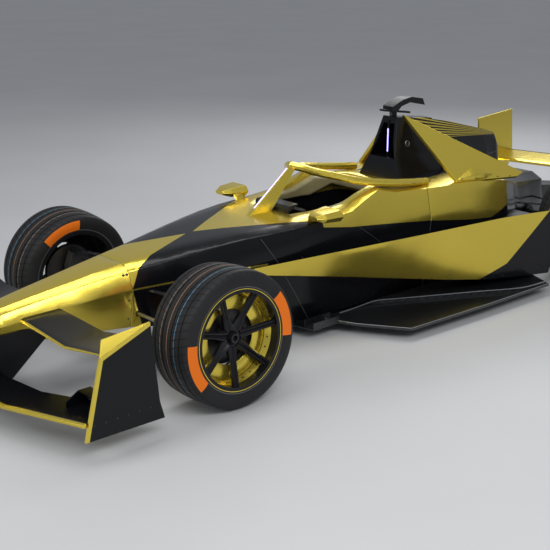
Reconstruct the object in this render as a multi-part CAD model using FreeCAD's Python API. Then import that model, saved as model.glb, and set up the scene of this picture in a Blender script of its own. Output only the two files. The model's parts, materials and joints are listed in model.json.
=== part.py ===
"""Open wheel racing car: a single-seater with a halo, a nose wing, body-side fins and a low rear wing.

Millimetres. +X is forward, +Y is the car's left, +Z is up. The origin is on the ground, under
the middle of the car's length and width. Tables of points along the body are shares: x of the
wheelbase, counted from the front axle, y of half the overall width, and z of the roll hoop's height.
"""
import FreeCAD, Part
import functools
import math
import os

V = FreeCAD.Vector

# Driving dimensions of the whole car
FRONT_OVERHANG = 1160.0
WHEELBASE = 2970.0
REAR_OVERHANG = 886.0
WIDTH = 1700.0
HOOP_HEIGHT = 1023.0
LENGTH = FRONT_OVERHANG + WHEELBASE + REAR_OVERHANG
HALF_WIDTH = WIDTH / 2
ABOVE_CAR = HOOP_HEIGHT * 2
FRONT_AXLE_X = LENGTH / 2 - FRONT_OVERHANG
REAR_AXLE_X = FRONT_AXLE_X - WHEELBASE
NOSE_X = LENGTH / 2
TAIL_X = -LENGTH / 2

# Clearances between pieces
SEAT_GAP = 0.3
RUN_GAP = 5.0
OVERRUN = 5.0
BORE_GAP = 0.3

# Wheels and tyres
FRONT_TYRE_RADIUS = 330.0
REAR_TYRE_RADIUS = 345.0
FRONT_TYRE_WIDTH = 265.0
REAR_TYRE_WIDTH = 305.0
FRONT_CAMBER_DEG = 3.5
REAR_CAMBER_DEG = 1.0
TREAD_CROWN_RADIUS = 1100.0
BEAD_RADIUS = 229.0
RIM_FLANGE_RADIUS = 243.0
RIM_WALL = 7.0
RIM_WELL_DEPTH = 18.0
RIM_INSET = 14.0
SPOKE_COUNT = 7
SPOKE_ROOT_WIDTH = 58.0
SPOKE_TIP_WIDTH = 34.0
SPOKE_DEPTH = 24.0
SPOKE_GROOVE = 9.0
SPOKE_PHASE_DEG = 20.2
HUB_RADIUS = 58.0
HUB_FACE_INSET = 62.0
HUB_DEPTH = 46.0
NUT_RADIUS = 30.0
NUT_DEPTH = 26.0
AXLE_RADIUS = 24.0
DISC_RADIUS = 139.0
DISC_THICKNESS = 24.0
DISC_GAP = 34.0

# Uprights and steering
KINGPIN_INSET = 84.0
UPRIGHT_HALF_HEIGHT = 112.0
UPRIGHT_THICKNESS = 46.0
UPRIGHT_LENGTH = 96.0
BALL_PIN_RADIUS = 8.0
EYE_RADIUS = 17.0
EYE_HEIGHT = 20.0
STEER_ARM_LENGTH = 112.0
STEER_ARM_DROP = 12.0
STEER_ARM_THICKNESS = 18.0
TIE_PIN_RADIUS = 6.0
TIE_EYE_RADIUS = 22.0
TIE_EYE_BORE = 14.0
TIE_EYE_HEIGHT = 20.0
TIE_ROD_RADIUS = 9.0
CALIPER_LENGTH = 60.0
CALIPER_HEIGHT = 130.0
CALIPER_WALL = 16.0

# Suspension legs
LEG_CHORD = 34.0
LEG_THICKNESS = 13.0
PUSHROD_RADIUS = 11.0
LEG_MOUNT_SPREAD = 210.0

# Front wing
WING_THICKNESS = 14.0
LOWER_CHORD = 190.0
LOWER_HEIGHT = 140.0
LOWER_TIP_RISE = 28.0
LOWER_SWEEP = 110.0
LOWER_SETBACK = 185.0
LOWER_LEAD = FRONT_OVERHANG - LOWER_SETBACK
UPPER_CHORD = 200.0
UPPER_SETBACK = 435.0
UPPER_LEAD = FRONT_OVERHANG - UPPER_SETBACK
UPPER_ROOT_HEIGHT = 408.0
UPPER_KINK_HEIGHT = 372.0
UPPER_TIP_HEIGHT = 452.0
UPPER_ROOT_Y = 168.0
UPPER_KINK_Y = 450.0
UPPER_PITCH = 26.0
ENDPLATE_Y = 820.0
ENDPLATE_THICKNESS = 12.0
ENDPLATE_FOLD = 50.0
FOLD_THICKNESS = 7.0
FENCE_Y = 617.0
FENCE_THICKNESS = 5.0
FENCE_LENGTH = 125.0
FENCE_TOP = 240.0
PYLON_Y = 120.0
PYLON_THICKNESS = 26.0
PYLON_LENGTH = 330.0

# Cockpit
COCKPIT_FRONT = WHEELBASE * 0.3047
COCKPIT_REAR = WHEELBASE * 0.569
COCKPIT_HALF_WIDTH = 245.0
COCKPIT_FRONT_HALF_WIDTH = 150.0
COCKPIT_FLOOR = 130.0
COCKPIT_CORNER = 60.0
FOOTWELL_HALF_WIDTH = 130.0
FOOTWELL_TOP = 470.0
FOOTWELL_FRONT = WHEELBASE * 0.1886
HEADREST_ARM_WIDTH = 46.0
HEADREST_BACK_DEPTH = 100.0

# Steering wheel and column
COLUMN_TILT_DEG = 14.0
COLUMN_RADIUS = 19.0
STEERING_WHEEL_X = COCKPIT_FRONT + 180.0
STEERING_WHEEL_HEIGHT = 555.0
STEERING_WHEEL_HALF_WIDTH = 128.0
STEERING_WHEEL_HALF_HEIGHT = 72.0
STEERING_WHEEL_THICKNESS = 26.0
DASH_HOOD_TOP = 690.0
DASH_HOOD_REACH = 74.0
DASH_WALL = 12.0

# Halo
HALO_TOP_X = WHEELBASE * 0.357
HALO_RISE = 158.0
HALO_END_X = WHEELBASE * 0.627
HALO_HALF_WIDTH = 305.0
HALO_TUBE_HEIGHT = 42.0
HALO_TUBE_WIDTH = 48.0
HALO_PILLAR_BASE_X = WHEELBASE * 0.2441
HALO_PILLAR_WIDTH = 36.0

# Mirrors
MIRROR_X = WHEELBASE * 0.3115
MIRROR_Y = 392.0
MIRROR_HEIGHT = 680.0
MIRROR_LENGTH = 150.0
MIRROR_WIDTH = 170.0
MIRROR_SIZE = 62.0
MIRROR_STALK_THICKNESS = 15.0

# Intake, hoop and spine
AIRBOX_BASE_HALF_WIDTH = 162.0
AIRBOX_TOP_HALF_WIDTH = 56.0
AIRBOX_BASE_HEIGHT = 690.0
AIRBOX_TOP_RISE = 39.0
AIRBOX_TAIL_DROP = 37.0
AIRBOX_FRONT = WHEELBASE * 0.5916
AIRBOX_RAKE = 98.0
AIRBOX_LENGTH = WHEELBASE * 0.1448
INTAKE_WALL = 20.0
INTAKE_DEPTH = 190.0
INTAKE_SILL = 134.0
POD_RISE = 107.0
POD_PLATE_THICKNESS = 12.0
POD_HALF_WIDTH = 40.0

# Power unit and drive
POWER_FRONT = WHEELBASE * 0.6195
POWER_LENGTH = WHEELBASE * 0.2424
POWER_HALF_WIDTH = 270.0
POWER_BASE = 110.0
POWER_TOP = 470.0
OUTPUT_BOSS_RADIUS = 44.0

# Side fins
FIN_THICKNESS = 20.0
BLISTER_HALF_WIDTH = 30.0
BLISTER_HEIGHT = 44.0

# Rear wing
WING_SPAN_HALF = 545.0
REAR_WING_CHORD = 250.0
REAR_WING_THICKNESS = 26.0
REAR_WING_HEIGHT = 488.0
REAR_WING_PITCH = 10.0
REAR_ENDPLATE_THICKNESS = 14.0
REAR_ENDPLATE_TOP = 842.0
REAR_ENDPLATE_FOOT = 400.0
RAIN_LIGHT_DEPTH = 24.0

# Floor and plank
FLOOR_THICKNESS = 14.0
FLOOR_HEIGHT = 62.0
PLATFORM_THICKNESS = 16.0
FLOOR_FENCE_HEIGHT = 44.0
FLOOR_FENCE_THICKNESS = 6.0
DIFFUSER_RISE = 90.0
STRAKE_THICKNESS = 6.0
STRAKE_DEPTH = 62.0
PLANK_THICKNESS = 22.0
PLANK_HALF_WIDTH = 150.0

# Body outlines, as shares
# Each row: x, top edge y and z, shoulder y and z, side crease y and z, bottom edge y and z
NOSE_SHARES = [
    (FRONT_OVERHANG / WHEELBASE, 0.024, 0.367, 0.041, 0.357, 0.053, 0.337, 0.035, 0.308),
    (0.269, 0.059, 0.459, 0.092, 0.437, 0.118, 0.389, 0.094, 0.293),
    (0.158, 0.088, 0.511, 0.135, 0.487, 0.167, 0.422, 0.135, 0.269),
    (0.051, 0.118, 0.557, 0.182, 0.528, 0.218, 0.443, 0.176, 0.244),
]
TUB_SHARES = [
    NOSE_SHARES[-1],
    (-0.061, 0.188, 0.590, 0.259, 0.567, 0.288, 0.448, 0.235, 0.186),
    (-0.168, 0.259, 0.614, 0.335, 0.598, 0.359, 0.453, 0.294, 0.137),
    (-0.269, 0.294, 0.626, 0.406, 0.614, 0.424, 0.459, 0.365, 0.088),
    (-0.401, 0.318, 0.660, 0.412, 0.640, 0.441, 0.469, 0.388, 0.073),
    (-0.478, 0.318, 0.733, 0.382, 0.718, 0.447, 0.489, 0.400, 0.068),
    (-0.525, 0.306, 0.704, 0.394, 0.684, 0.453, 0.489, 0.406, 0.068),
    (-0.606, 0.282, 0.689, 0.424, 0.674, 0.471, 0.489, 0.412, 0.068),
]
COVER_SHARES = [
    TUB_SHARES[-1],
    (-0.707, 0.255, 0.704, 0.515, 0.684, 0.555, 0.489, 0.447, 0.068),
    (-0.825, 0.200, 0.672, 0.515, 0.640, 0.545, 0.459, 0.424, 0.073),
    (-0.943, 0.129, 0.587, 0.306, 0.547, 0.341, 0.391, 0.294, 0.088),
    (-1.094, 0.082, 0.528, 0.176, 0.489, 0.200, 0.352, 0.176, 0.156),
]
# Each row: x, dip y and z, crease y and z, bottom edge y and z
SIDEPOD_SHARES = [
    (-0.168, 0.376, 0.452, 0.385, 0.449, 0.382, 0.415),
    (-0.337, 0.500, 0.442, 0.576, 0.486, 0.476, 0.323),
    (-0.481, 0.565, 0.430, 0.724, 0.512, 0.588, 0.246),
    (-0.697, 0.635, 0.430, 0.829, 0.520, 0.765, 0.142),
    (-0.862, 0.706, 0.440, 0.900, 0.503, 0.847, 0.098),
]
# Each row: x, half width and height of the spine's ridge, half width of its foot
SPINE_SHARES = [
    (-0.700, 0.052, 1.012, 0.300),
    (-0.800, 0.052, 0.9556, 0.240),
    (-0.9185, 0.048, 0.870, 0.150),
    (-0.9626, 0.038, 0.833, 0.090),
    (-0.974, 0.032, 0.775, 0.066),
    (-0.9805, 0.024, 0.663, 0.050),
]
BODY_STEPS = 2
POD_STEPS = 2
HALO_STEPS = 2
# Each row along a halo arm: share of its length, of its half width, of its fall
HALO_ARM_SHARES = [
    (0.0, 0.0, 0.0),
    (0.040, 0.18, 0.06),
    (0.081, 0.33, 0.16),
    (0.140, 0.51, 0.25),
    (0.206, 0.67, 0.34),
    (0.287, 0.82, 0.46),
    (0.387, 0.92, 0.57),
    (0.511, 0.975, 0.67),
    (0.673, 1.0, 0.80),
    (0.848, 0.99, 0.91),
    (1.0, 0.967, 1.0),
]
# Section of the halo's tube: share of its half width, of its half height
HALO_SECTION_SHARES = [(1.0, -0.35), (0.45, -1.0), (-0.45, -1.0), (-1.0, -0.35),
                       (-1.0, 0.35), (-0.45, 1.0), (0.45, 1.0), (1.0, 0.35)]
# Side outline of the headrest: x and height
HEADREST_SHARES = [(-0.370, 0.598), (-0.468, 0.591), (-0.525, 0.638), (-0.580, 0.638),
                   (-0.580, 0.684), (-0.525, 0.690), (-0.478, 0.716), (-0.421, 0.660), (-0.370, 0.637)]
# Outline of the steering wheel's display block: share of its half width and half height
STEERING_BLOCK_SHARES = [(-1.0, -0.45), (-0.6, -0.8), (0.6, -0.8), (1.0, -0.45),
                         (1.0, 0.7), (0.8, 0.95), (-0.8, 0.95), (-1.0, 0.7)]
AIRBOX_KNEE_SHARE = 0.4
# Outline of the camera blade: shares of the pod's rise behind and above the hoop's top
POD_BLADE_SHARES = [(-0.22, 0.36), (-0.22, 0.59), (0.60, 0.90), (1.34, 1.0), (2.29, 0.82),
                    (2.49, 0.43), (2.10, 0.52), (1.26, 0.71), (0.51, 0.54), (0.19, 0.28)]
# Outline of a front endplate: shares of the front overhang and of the hoop's height
ENDPLATE_SHARES = [(0.722, 0.098), (0.646, 0.443), (0.429, 0.540), (0.398, 0.176), (0.378, 0.093)]
# Outline of one half of the floor, and of the raised platform on it: x and y
FLOOR_SHARES = [(-0.330, 0.40), (-0.357, 0.62), (-0.4145, 0.915), (-0.62, 0.945), (-0.822, 0.953),
                (-0.868, 0.60), (-0.945, 0.56)]
PLATFORM_SHARES = [(-0.383, 0.30), (-0.383, 0.361), (-0.447, 0.373), (-0.577, 0.62), (-0.743, 0.913),
                   (-0.815, 0.940), (-0.855, 0.60), (-0.855, 0.30)]
FLOOR_TONGUE_SHARES = [(-0.270, 0.340), (-0.280, 0.507), (-0.345, 0.507), (-0.345, 0.340)]
DIFFUSER_START_SHARE = -0.945
DIFFUSER_END_SHARE = -1.160
DIFFUSER_HALF_WIDTH_SHARE = 0.54
STRAKE_SHARES = [0.15, 0.34, 0.53]
SHAFT_INNER_SHARE = 0.31
# Corners of a side fin: x, y, z
FIN_APEX_SHARE = (-0.6455, 0.059, 1.047)
FIN_FOOT_SHARE = (-0.678, 0.480, 0.688)
FIN_TIP_SHARE = (-0.8525, 0.588, 0.689)
FIN_HEEL_SHARE = (-0.835, 0.541, 0.634)
# Stations of the blister on a fin's foot: x, y, z, share of its size
BLISTER_SHARES = [(-0.684, 0.476, 0.700, 0.15), (-0.716, 0.488, 0.716, 0.95), (-0.745, 0.500, 0.712, 0.85),
                  (-0.788, 0.520, 0.690, 0.15)]
# Wing section: share of the chord behind the nose, of the thickness above it
AIRFOIL_SHARES = [
    (0.0, 0.0), (0.03, 0.42), (0.15, 0.62), (0.45, 0.45), (1.0, 0.10),
    (1.0, -0.06), (0.45, -0.40), (0.15, -0.45), (0.03, -0.28),
]


def body_x(share):
    """X of a place that lies a share of the wheelbase ahead of the front axle."""
    return FRONT_AXLE_X + share * WHEELBASE


def body_y(share):
    return share * HALF_WIDTH


def body_z(share):
    return share * HOOP_HEIGHT


def behind_axle(distance):
    """X of a place that lies a distance behind the front axle."""
    return FRONT_AXLE_X - distance


def ahead_of_axle(distance):
    """X of a place that lies a distance ahead of the front axle."""
    return FRONT_AXLE_X + distance


def closed_wire(points):
    return Part.makePolygon(list(points) + [points[0]])


def ruled_loft(wires):
    return Part.makeLoft(wires, True, True)


def prism(points, direction):
    """Solid swept from a flat outline along a direction."""
    return Part.Face(closed_wire(points)).extrude(direction)


def box(x0, x1, y0, y1, z0, z1):
    return Part.makeBox(x1 - x0, y1 - y0, z1 - z0, V(x0, y0, z0))


def rod(start, end, radius):
    """Round bar between two points."""
    line = end - start
    return Part.makeCylinder(radius, line.Length, start, line)


def mirrored(shape):
    """Copy of a shape on the car's other side."""
    return shape.mirror(V(0, 0, 0), V(0, 1, 0))


def on_side(shape, side):
    return shape if side > 0 else mirrored(shape)


def both_sides(make):
    """Left and right pieces of one kind, as separate solids of one node."""
    return Part.makeCompound(make(1).Solids + make(-1).Solids)


def tapered(points_low, points_high):
    """Solid between two outlines with as many corners."""
    return ruled_loft([closed_wire(points_low), closed_wire(points_high)])


def column_slope(rows, i, column):
    """Slope of one column at a row: between those on its two sides, and level at a peak or dip."""
    def secant(a, b):
        return (b[column] - a[column]) / (b[0] - a[0])
    if i == 0:
        return secant(rows[0], rows[1])
    if i == len(rows) - 1:
        return secant(rows[-2], rows[-1])
    before = secant(rows[i - 1], rows[i])
    after = secant(rows[i], rows[i + 1])
    if before * after <= 0:
        return 0.0
    return 2 * before * after / (before + after)


def eased_rows(rows, steps):
    """A table's rows with stations added between them, on smooth curves that never overshoot a row."""
    eased = [tuple(rows[0])]
    for i in range(len(rows) - 1):
        run = rows[i + 1][0] - rows[i][0]
        for step in range(1, steps + 1):
            t = step / steps
            row = []
            for column in range(len(rows[i])):
                start = rows[i][column]
                end = rows[i + 1][column]
                leave = column_slope(rows, i, column) * run
                arrive = column_slope(rows, i + 1, column) * run
                row.append((2 * t ** 3 - 3 * t ** 2 + 1) * start + (t ** 3 - 2 * t ** 2 + t) * leave
                           + (3 * t ** 2 - 2 * t ** 3) * end + (t ** 3 - t ** 2) * arrive)
            eased.append(tuple(row))
    return eased


def body_rows():
    """Every station of the body from nose to tail, eased between the rows of the three tables."""
    return eased_rows(NOSE_SHARES + TUB_SHARES[1:] + COVER_SHARES[1:], BODY_STEPS)


def nose_end():
    """Place of the nose's last station among the body's."""
    return (len(NOSE_SHARES) - 1) * BODY_STEPS


def tub_end():
    """Place of the tub's last station among the body's."""
    return nose_end() + (len(TUB_SHARES) - 1) * BODY_STEPS


def body_section(row, grow):
    """Closed outline of the body at one station, wider all round by a margin."""
    x = body_x(row[0])
    left = []
    for i in range(1, len(row), 2):
        rise = grow if i < len(row) - 2 else -grow
        left.append(V(x, body_y(row[i]) + grow, body_z(row[i + 1]) + rise))
    right = [V(x, -p.y, p.z) for p in reversed(left)]
    return closed_wire(left + right)


def body_solid(rows, grow=0.0):
    return ruled_loft([body_section(row, grow) for row in rows])


@functools.lru_cache(None)
def grown_body():
    """The whole body, wider by the seat gap, for trimming what stands against it."""
    return body_solid(body_rows(), SEAT_GAP)


def nose_cone():
    """Tapering nose with a sharp crease along each flank."""
    return body_solid(body_rows()[:nose_end() + 1])


def cockpit_outline(height, grow):
    """Outline of the cockpit opening: narrow in front, widest at the driver's shoulders."""
    front = behind_axle(COCKPIT_FRONT) + grow
    rear = behind_axle(COCKPIT_REAR) - grow
    wide = COCKPIT_HALF_WIDTH + grow
    narrow = COCKPIT_FRONT_HALF_WIDTH + grow
    shoulder = front - COCKPIT_HALF_WIDTH
    left = [V(front, narrow, height), V(shoulder, wide, height),
            V(rear + COCKPIT_CORNER, wide, height), V(rear, wide - COCKPIT_CORNER, height)]
    right = [V(p.x, -p.y, height) for p in reversed(left)]
    return left + right


def cockpit_space():
    """Space of the cockpit, with the footwell that runs forward under the dash."""
    top = cockpit_outline(HOOP_HEIGHT, 0)
    low = cockpit_outline(COCKPIT_FLOOR, 0)
    opening = tapered(low, top)
    footwell = box(behind_axle(COCKPIT_FRONT + COCKPIT_HALF_WIDTH), behind_axle(FOOTWELL_FRONT),
                   -FOOTWELL_HALF_WIDTH, FOOTWELL_HALF_WIDTH, COCKPIT_FLOOR, FOOTWELL_TOP)
    return opening.fuse(footwell)


def steering_bore():
    """Cross bore that the steering rack slides in."""
    radius = TIE_ROD_RADIUS + RUN_GAP
    height = front_wheel_height() - STEER_ARM_DROP
    start = V(FRONT_AXLE_X + STEER_ARM_LENGTH, -HALF_WIDTH, height)
    return Part.makeCylinder(radius, WIDTH, start, V(0, 1, 0))


def monocoque():
    """Survival cell: the flat-topped tub with its open cockpit and raised cockpit sides."""
    tub = body_solid(body_rows()[nose_end():tub_end() + 1]).cut(cockpit_space())
    return tub.cut(steering_bore())


def seat():
    """Reclined driver's seat shell in the cockpit."""
    wall = RIM_WALL * 2
    half = COCKPIT_HALF_WIDTH - OVERRUN
    inner = half - wall * 2
    base = COCKPIT_FLOOR + SEAT_GAP
    back_x = behind_axle(COCKPIT_REAR) + SEAT_GAP + OVERRUN
    front_x = back_x + COCKPIT_HALF_WIDTH * 2
    back_top = base + COCKPIT_HALF_WIDTH * 1.55
    lip = base + COCKPIT_HALF_WIDTH * 0.55
    outer = prism([V(back_x, -half, base), V(front_x, -half, base), V(front_x, -half, lip),
                   V(back_x + half, -half, lip), V(back_x + wall * 2, -half, back_top),
                   V(back_x, -half, back_top)], V(0, half * 2, 0))
    hollow = prism([V(back_x + wall * 5, -inner, base + wall), V(front_x + OVERRUN, -inner, base + wall * 3),
                    V(front_x + OVERRUN, -inner, back_top), V(back_x + wall, -inner, back_top + OVERRUN)],
                   V(0, inner * 2, 0))
    return outer.cut(hollow).cut(cockpit_corners(HALF_WIDTH))


def cockpit_corners(reach):
    """The two slanting rear corners outside the cockpit's outline, for trimming what stands inside it."""
    rear = behind_axle(COCKPIT_REAR)
    wide = COCKPIT_HALF_WIDTH - SEAT_GAP
    side = COCKPIT_CORNER
    points = [V(rear - reach, wide - side - reach - SEAT_GAP, 0), V(rear + side + SEAT_GAP, wide, 0),
              V(rear + side + SEAT_GAP, wide + reach, 0), V(rear - reach, wide + reach, 0)]
    left = prism(points, V(0, 0, HOOP_HEIGHT))
    return left.fuse(mirrored(left))


def headrest():
    """Padded U round the back of the cockpit, whose arms taper forward under the cockpit's rims."""
    half = COCKPIT_HALF_WIDTH
    outline = [V(p.x, p.y, 0) for p in cockpit_outline(0, -SEAT_GAP)]
    block = prism(outline, V(0, 0, ABOVE_CAR))
    inner = half - HEADREST_ARM_WIDTH
    hollow = box(behind_axle(COCKPIT_REAR) + HEADREST_BACK_DEPTH, NOSE_X, -inner, inner, 0, ABOVE_CAR)
    profile = prism([V(body_x(x), -half, body_z(z)) for x, z in HEADREST_SHARES], V(0, half * 2, 0))
    return block.cut(hollow).common(profile)


def steering_column_axis():
    """Direction of the steering column: it points back and up at the driver."""
    tilt = math.radians(COLUMN_TILT_DEG)
    return V(-math.cos(tilt), 0, math.sin(tilt))


def steering_wheel_centre():
    return V(behind_axle(STEERING_WHEEL_X), 0, STEERING_WHEEL_HEIGHT)


def steering_wheel():
    """Flat-topped wheel with a grip at each side of its display block, on its quick-release boss."""
    half_w = STEERING_WHEEL_HALF_WIDTH
    half_h = STEERING_WHEEL_HALF_HEIGHT
    thick = STEERING_WHEEL_THICKNESS
    grip = thick * 0.62
    inner = half_w * 0.72
    block = prism([V(0, out * inner, up * half_h) for out, up in STEERING_BLOCK_SHARES], V(thick, 0, 0))
    screen = box(thick, thick * 1.2, -inner * 0.55, inner * 0.55, 0, half_h * 0.7)
    boss = Part.makeCylinder(COLUMN_RADIUS * 1.6, thick, V(-thick, 0, 0), V(1, 0, 0))
    solid = block.fuse(screen).fuse(boss)
    for side in (1, -1):
        low = V(thick / 2, side * half_w * 0.88, -half_h)
        high = V(thick / 2, side * half_w, half_h * 0.8)
        solid = solid.fuse(rod(low, high, grip))
        for height in (-half_h * 0.55, half_h * 0.55):
            root = V(thick / 2, side * inner * 0.9, height)
            solid = solid.fuse(rod(root, V(root.x, side * half_w * 0.94, height), grip * 0.7))
    upright = FreeCAD.Rotation(V(1, 0, 0), 180)
    turn = FreeCAD.Rotation(V(1, 0, 0), steering_column_axis()).multiply(upright)
    solid.Placement = FreeCAD.Placement(steering_wheel_centre(), turn)
    return solid


def dash_and_column():
    """Dash wall and hood at the cockpit's front, with the steering column's tube standing out of it."""
    centre = steering_wheel_centre()
    axis = steering_column_axis()
    start = centre - axis * (STEERING_WHEEL_THICKNESS + SEAT_GAP)
    length = STEERING_WHEEL_X - COCKPIT_FRONT + COLUMN_RADIUS
    tube = Part.makeCylinder(COLUMN_RADIUS, length, start - axis * length, axis)
    front = behind_axle(COCKPIT_FRONT) - SEAT_GAP
    tube = tube.cut(box(front, NOSE_X, -HALF_WIDTH, HALF_WIDTH, 0, ABOVE_CAR))
    half = COCKPIT_FRONT_HALF_WIDTH - DASH_WALL
    low = FOOTWELL_TOP + SEAT_GAP
    top = DASH_HOOD_TOP
    wall = DASH_WALL
    lip = front - DASH_HOOD_REACH
    hood = prism([V(front, -half, low), V(front, -half, top - wall * 1.6), V(front - wall, -half, top - wall * 0.4),
                  V(lip, -half, top), V(lip, -half, top - wall * 0.6), V(front - wall, -half, top - wall * 3),
                  V(front - wall, -half, low)], V(0, half * 2, 0))
    return tube.fuse(hood)


def halo_end_height():
    """Height of a halo arm's middle where it meets the body behind the cockpit."""
    return body_z(TUB_SHARES[-1][2]) + HALO_TUBE_HEIGHT * 0.2


def halo():
    """Head protection hoop: a thin raked centre pillar and two arms down to the cockpit's back."""
    top_x = behind_axle(HALO_TOP_X)
    top_z = halo_end_height() + HALO_RISE
    span = top_x - behind_axle(HALO_END_X)
    route = [V(top_x - along * span, out * HALO_HALF_WIDTH, top_z - fall * HALO_RISE)
             for along, out, fall in eased_rows(HALO_ARM_SHARES, HALO_STEPS)]
    wires = []
    for i, point in enumerate(route):
        ahead = route[min(i + 1, len(route) - 1)] - route[max(i - 1, 0)]
        ahead.z = 0
        if i == 0:
            ahead = V(0, 1, 0)
        ahead.normalize()
        across = V(-ahead.y, ahead.x, 0)
        wires.append(closed_wire([point + across * (out * HALO_TUBE_WIDTH / 2) + V(0, 0, up * HALO_TUBE_HEIGHT / 2)
                                  for out, up in HALO_SECTION_SHARES]))
    arm = ruled_loft(wires)
    arms = arm.fuse(mirrored(arm))
    return arms.fuse(halo_pillar(top_x, top_z)).cut(grown_body())


def halo_pillar(top_x, top_z):
    """Raked centre pillar, broad at its foot on the tub's top."""
    base_x = behind_axle(HALO_PILLAR_BASE_X)
    base_z = body_z(TUB_SHARES[2][2])
    half = HALO_PILLAR_WIDTH / 2
    foot = half * 1.9
    depth = HALO_TUBE_HEIGHT * 1.25
    low = [V(base_x, -foot * 0.4, base_z), V(base_x - depth * 2.6, -foot, base_z),
           V(base_x - depth * 2.6, foot, base_z), V(base_x, foot * 0.4, base_z)]
    high = [V(top_x + depth * 0.5, -half * 0.5, top_z), V(top_x - depth * 0.4, -half, top_z),
            V(top_x - depth * 0.4, half, top_z), V(top_x + depth * 0.5, half * 0.5, top_z)]
    return tapered(low, high)


def airbox_wire(x, base_half, top_half, base, top, rake, slope):
    """Six-sided outline of the intake tower, leaning back by the rake over its height."""
    mid = base + (top - base) * slope
    mid_half = top_half + (base_half - top_half) * 0.42
    left = [V(x, base_half, base), V(x - rake * slope, mid_half, mid), V(x - rake, top_half, top)]
    right = [V(p.x, -p.y, p.z) for p in reversed(left)]
    return closed_wire(left + right)


def airbox_top():
    return HOOP_HEIGHT + AIRBOX_TOP_RISE


def airbox_tower(grow):
    """Outside of the intake tower, wider by a margin."""
    front = behind_axle(AIRBOX_FRONT)
    base = AIRBOX_BASE_HEIGHT
    top = airbox_top() + grow
    low = AIRBOX_BASE_HALF_WIDTH + grow
    high = AIRBOX_TOP_HALF_WIDTH + grow
    return ruled_loft([
        airbox_wire(front + grow, low, high, base, top, AIRBOX_RAKE, AIRBOX_KNEE_SHARE),
        airbox_wire(front - AIRBOX_LENGTH - grow, low, high * 0.78, base, top - AIRBOX_TAIL_DROP, 0,
                    AIRBOX_KNEE_SHARE)])


def airbox():
    """Intake tower in front of the roll hoop, with a deep raked mouth and a blade down its middle."""
    front = behind_axle(AIRBOX_FRONT)
    slope = AIRBOX_KNEE_SHARE
    solid = airbox_tower(0).cut(grown_body())
    sill = AIRBOX_BASE_HEIGHT + INTAKE_SILL
    lip = airbox_top() - INTAKE_WALL * 1.4
    mouth_base_half = AIRBOX_BASE_HALF_WIDTH * 0.62
    mouth_top_half = AIRBOX_TOP_HALF_WIDTH - INTAKE_WALL * 0.7
    mouth = ruled_loft([
        airbox_wire(front + OVERRUN, mouth_base_half, mouth_top_half, sill, lip, AIRBOX_RAKE, slope),
        airbox_wire(front - INTAKE_DEPTH, mouth_base_half, mouth_top_half, sill, lip, 0, slope)])
    blade = box(front - INTAKE_DEPTH - OVERRUN, front - AIRBOX_RAKE * 0.85, -INTAKE_WALL * 0.25, INTAKE_WALL * 0.25,
                sill - OVERRUN, lip + OVERRUN)
    return solid.cut(mouth).fuse(blade)


def camera_pod():
    """Camera housing over the roll hoop: a flat plate on a stalk, and a blade that sweeps up behind it."""
    hoop_x = behind_axle(AIRBOX_FRONT) - AIRBOX_RAKE
    top = airbox_top()
    rise = POD_RISE
    half = POD_HALF_WIDTH
    thick = POD_PLATE_THICKNESS
    stalk = box(hoop_x - rise * 0.42, hoop_x - rise * 0.05, -half * 0.3, half * 0.3,
                top - rise * 0.2, top + rise * 0.35)
    nose_z = top + rise * 0.36
    tail_z = top + rise * 0.10
    nose_x = hoop_x + rise * 0.69
    tail_x = hoop_x - rise * 1.13
    plate = tapered([V(nose_x, -half * 0.5, nose_z), V(nose_x, half * 0.5, nose_z),
                     V(nose_x, half * 0.5, nose_z + thick), V(nose_x, -half * 0.5, nose_z + thick)],
                    [V(tail_x, -half * 1.3, tail_z), V(tail_x, half * 1.3, tail_z),
                     V(tail_x, half * 1.3, tail_z + thick), V(tail_x, -half * 1.3, tail_z + thick)])
    outline = [V(hoop_x - back * rise, -half, top + up * rise) for back, up in POD_BLADE_SHARES]
    blade = prism(outline, V(0, half * 2, 0))
    return stalk.fuse(plate).fuse(blade).cut(airbox_tower(SEAT_GAP))


def spine_section(row, base):
    x = body_x(row[0])
    half = body_y(row[1])
    top = body_z(row[2])
    foot = body_y(row[3])
    left = [V(x, half * 0.35, top), V(x, half, top - half * 1.2), V(x, foot, base)]
    right = [V(p.x, -p.y, p.z) for p in reversed(left)]
    return closed_wire(left + right)


def engine_cover():
    """Rear body shell behind the cockpit with its tall narrow spine, hollow round the power unit."""
    body = body_solid(body_rows()[tub_end():])
    base = body_z(COVER_SHARES[3][2]) - HUB_RADIUS
    spine = ruled_loft([spine_section(row, base) for row in SPINE_SHARES])
    airbox_back = behind_axle(AIRBOX_FRONT + AIRBOX_LENGTH) - SEAT_GAP
    spine = spine.cut(box(airbox_back, NOSE_X, -HALF_WIDTH, HALF_WIDTH, 0, ABOVE_CAR))
    shell = body.fuse(spine).cut(power_unit_space())
    for side in (1, -1):
        shell = shell.fuse(output_boss(side))
    return shell


def output_boss(side):
    """Round drive flange on the rear body's flank, where the half shaft ends."""
    middle, out, up = wheel_frame(REAR_AXLE_X, REAR_TYRE_RADIUS, REAR_TYRE_WIDTH, REAR_CAMBER_DEG)
    reach = (middle.y - body_y(SHAFT_INNER_SHARE)) / out.y + SEAT_GAP
    root = reach + OUTPUT_BOSS_RADIUS * 3
    boss = Part.makeCylinder(OUTPUT_BOSS_RADIUS, root - reach, middle - out * root, out)
    return on_side(boss, side)


def power_unit():
    """Battery and motor, as the one heavy block that sits inside the rear body."""
    front = behind_axle(POWER_FRONT)
    return box(front - POWER_LENGTH, front, -POWER_HALF_WIDTH, POWER_HALF_WIDTH, POWER_BASE, POWER_TOP)


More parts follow.
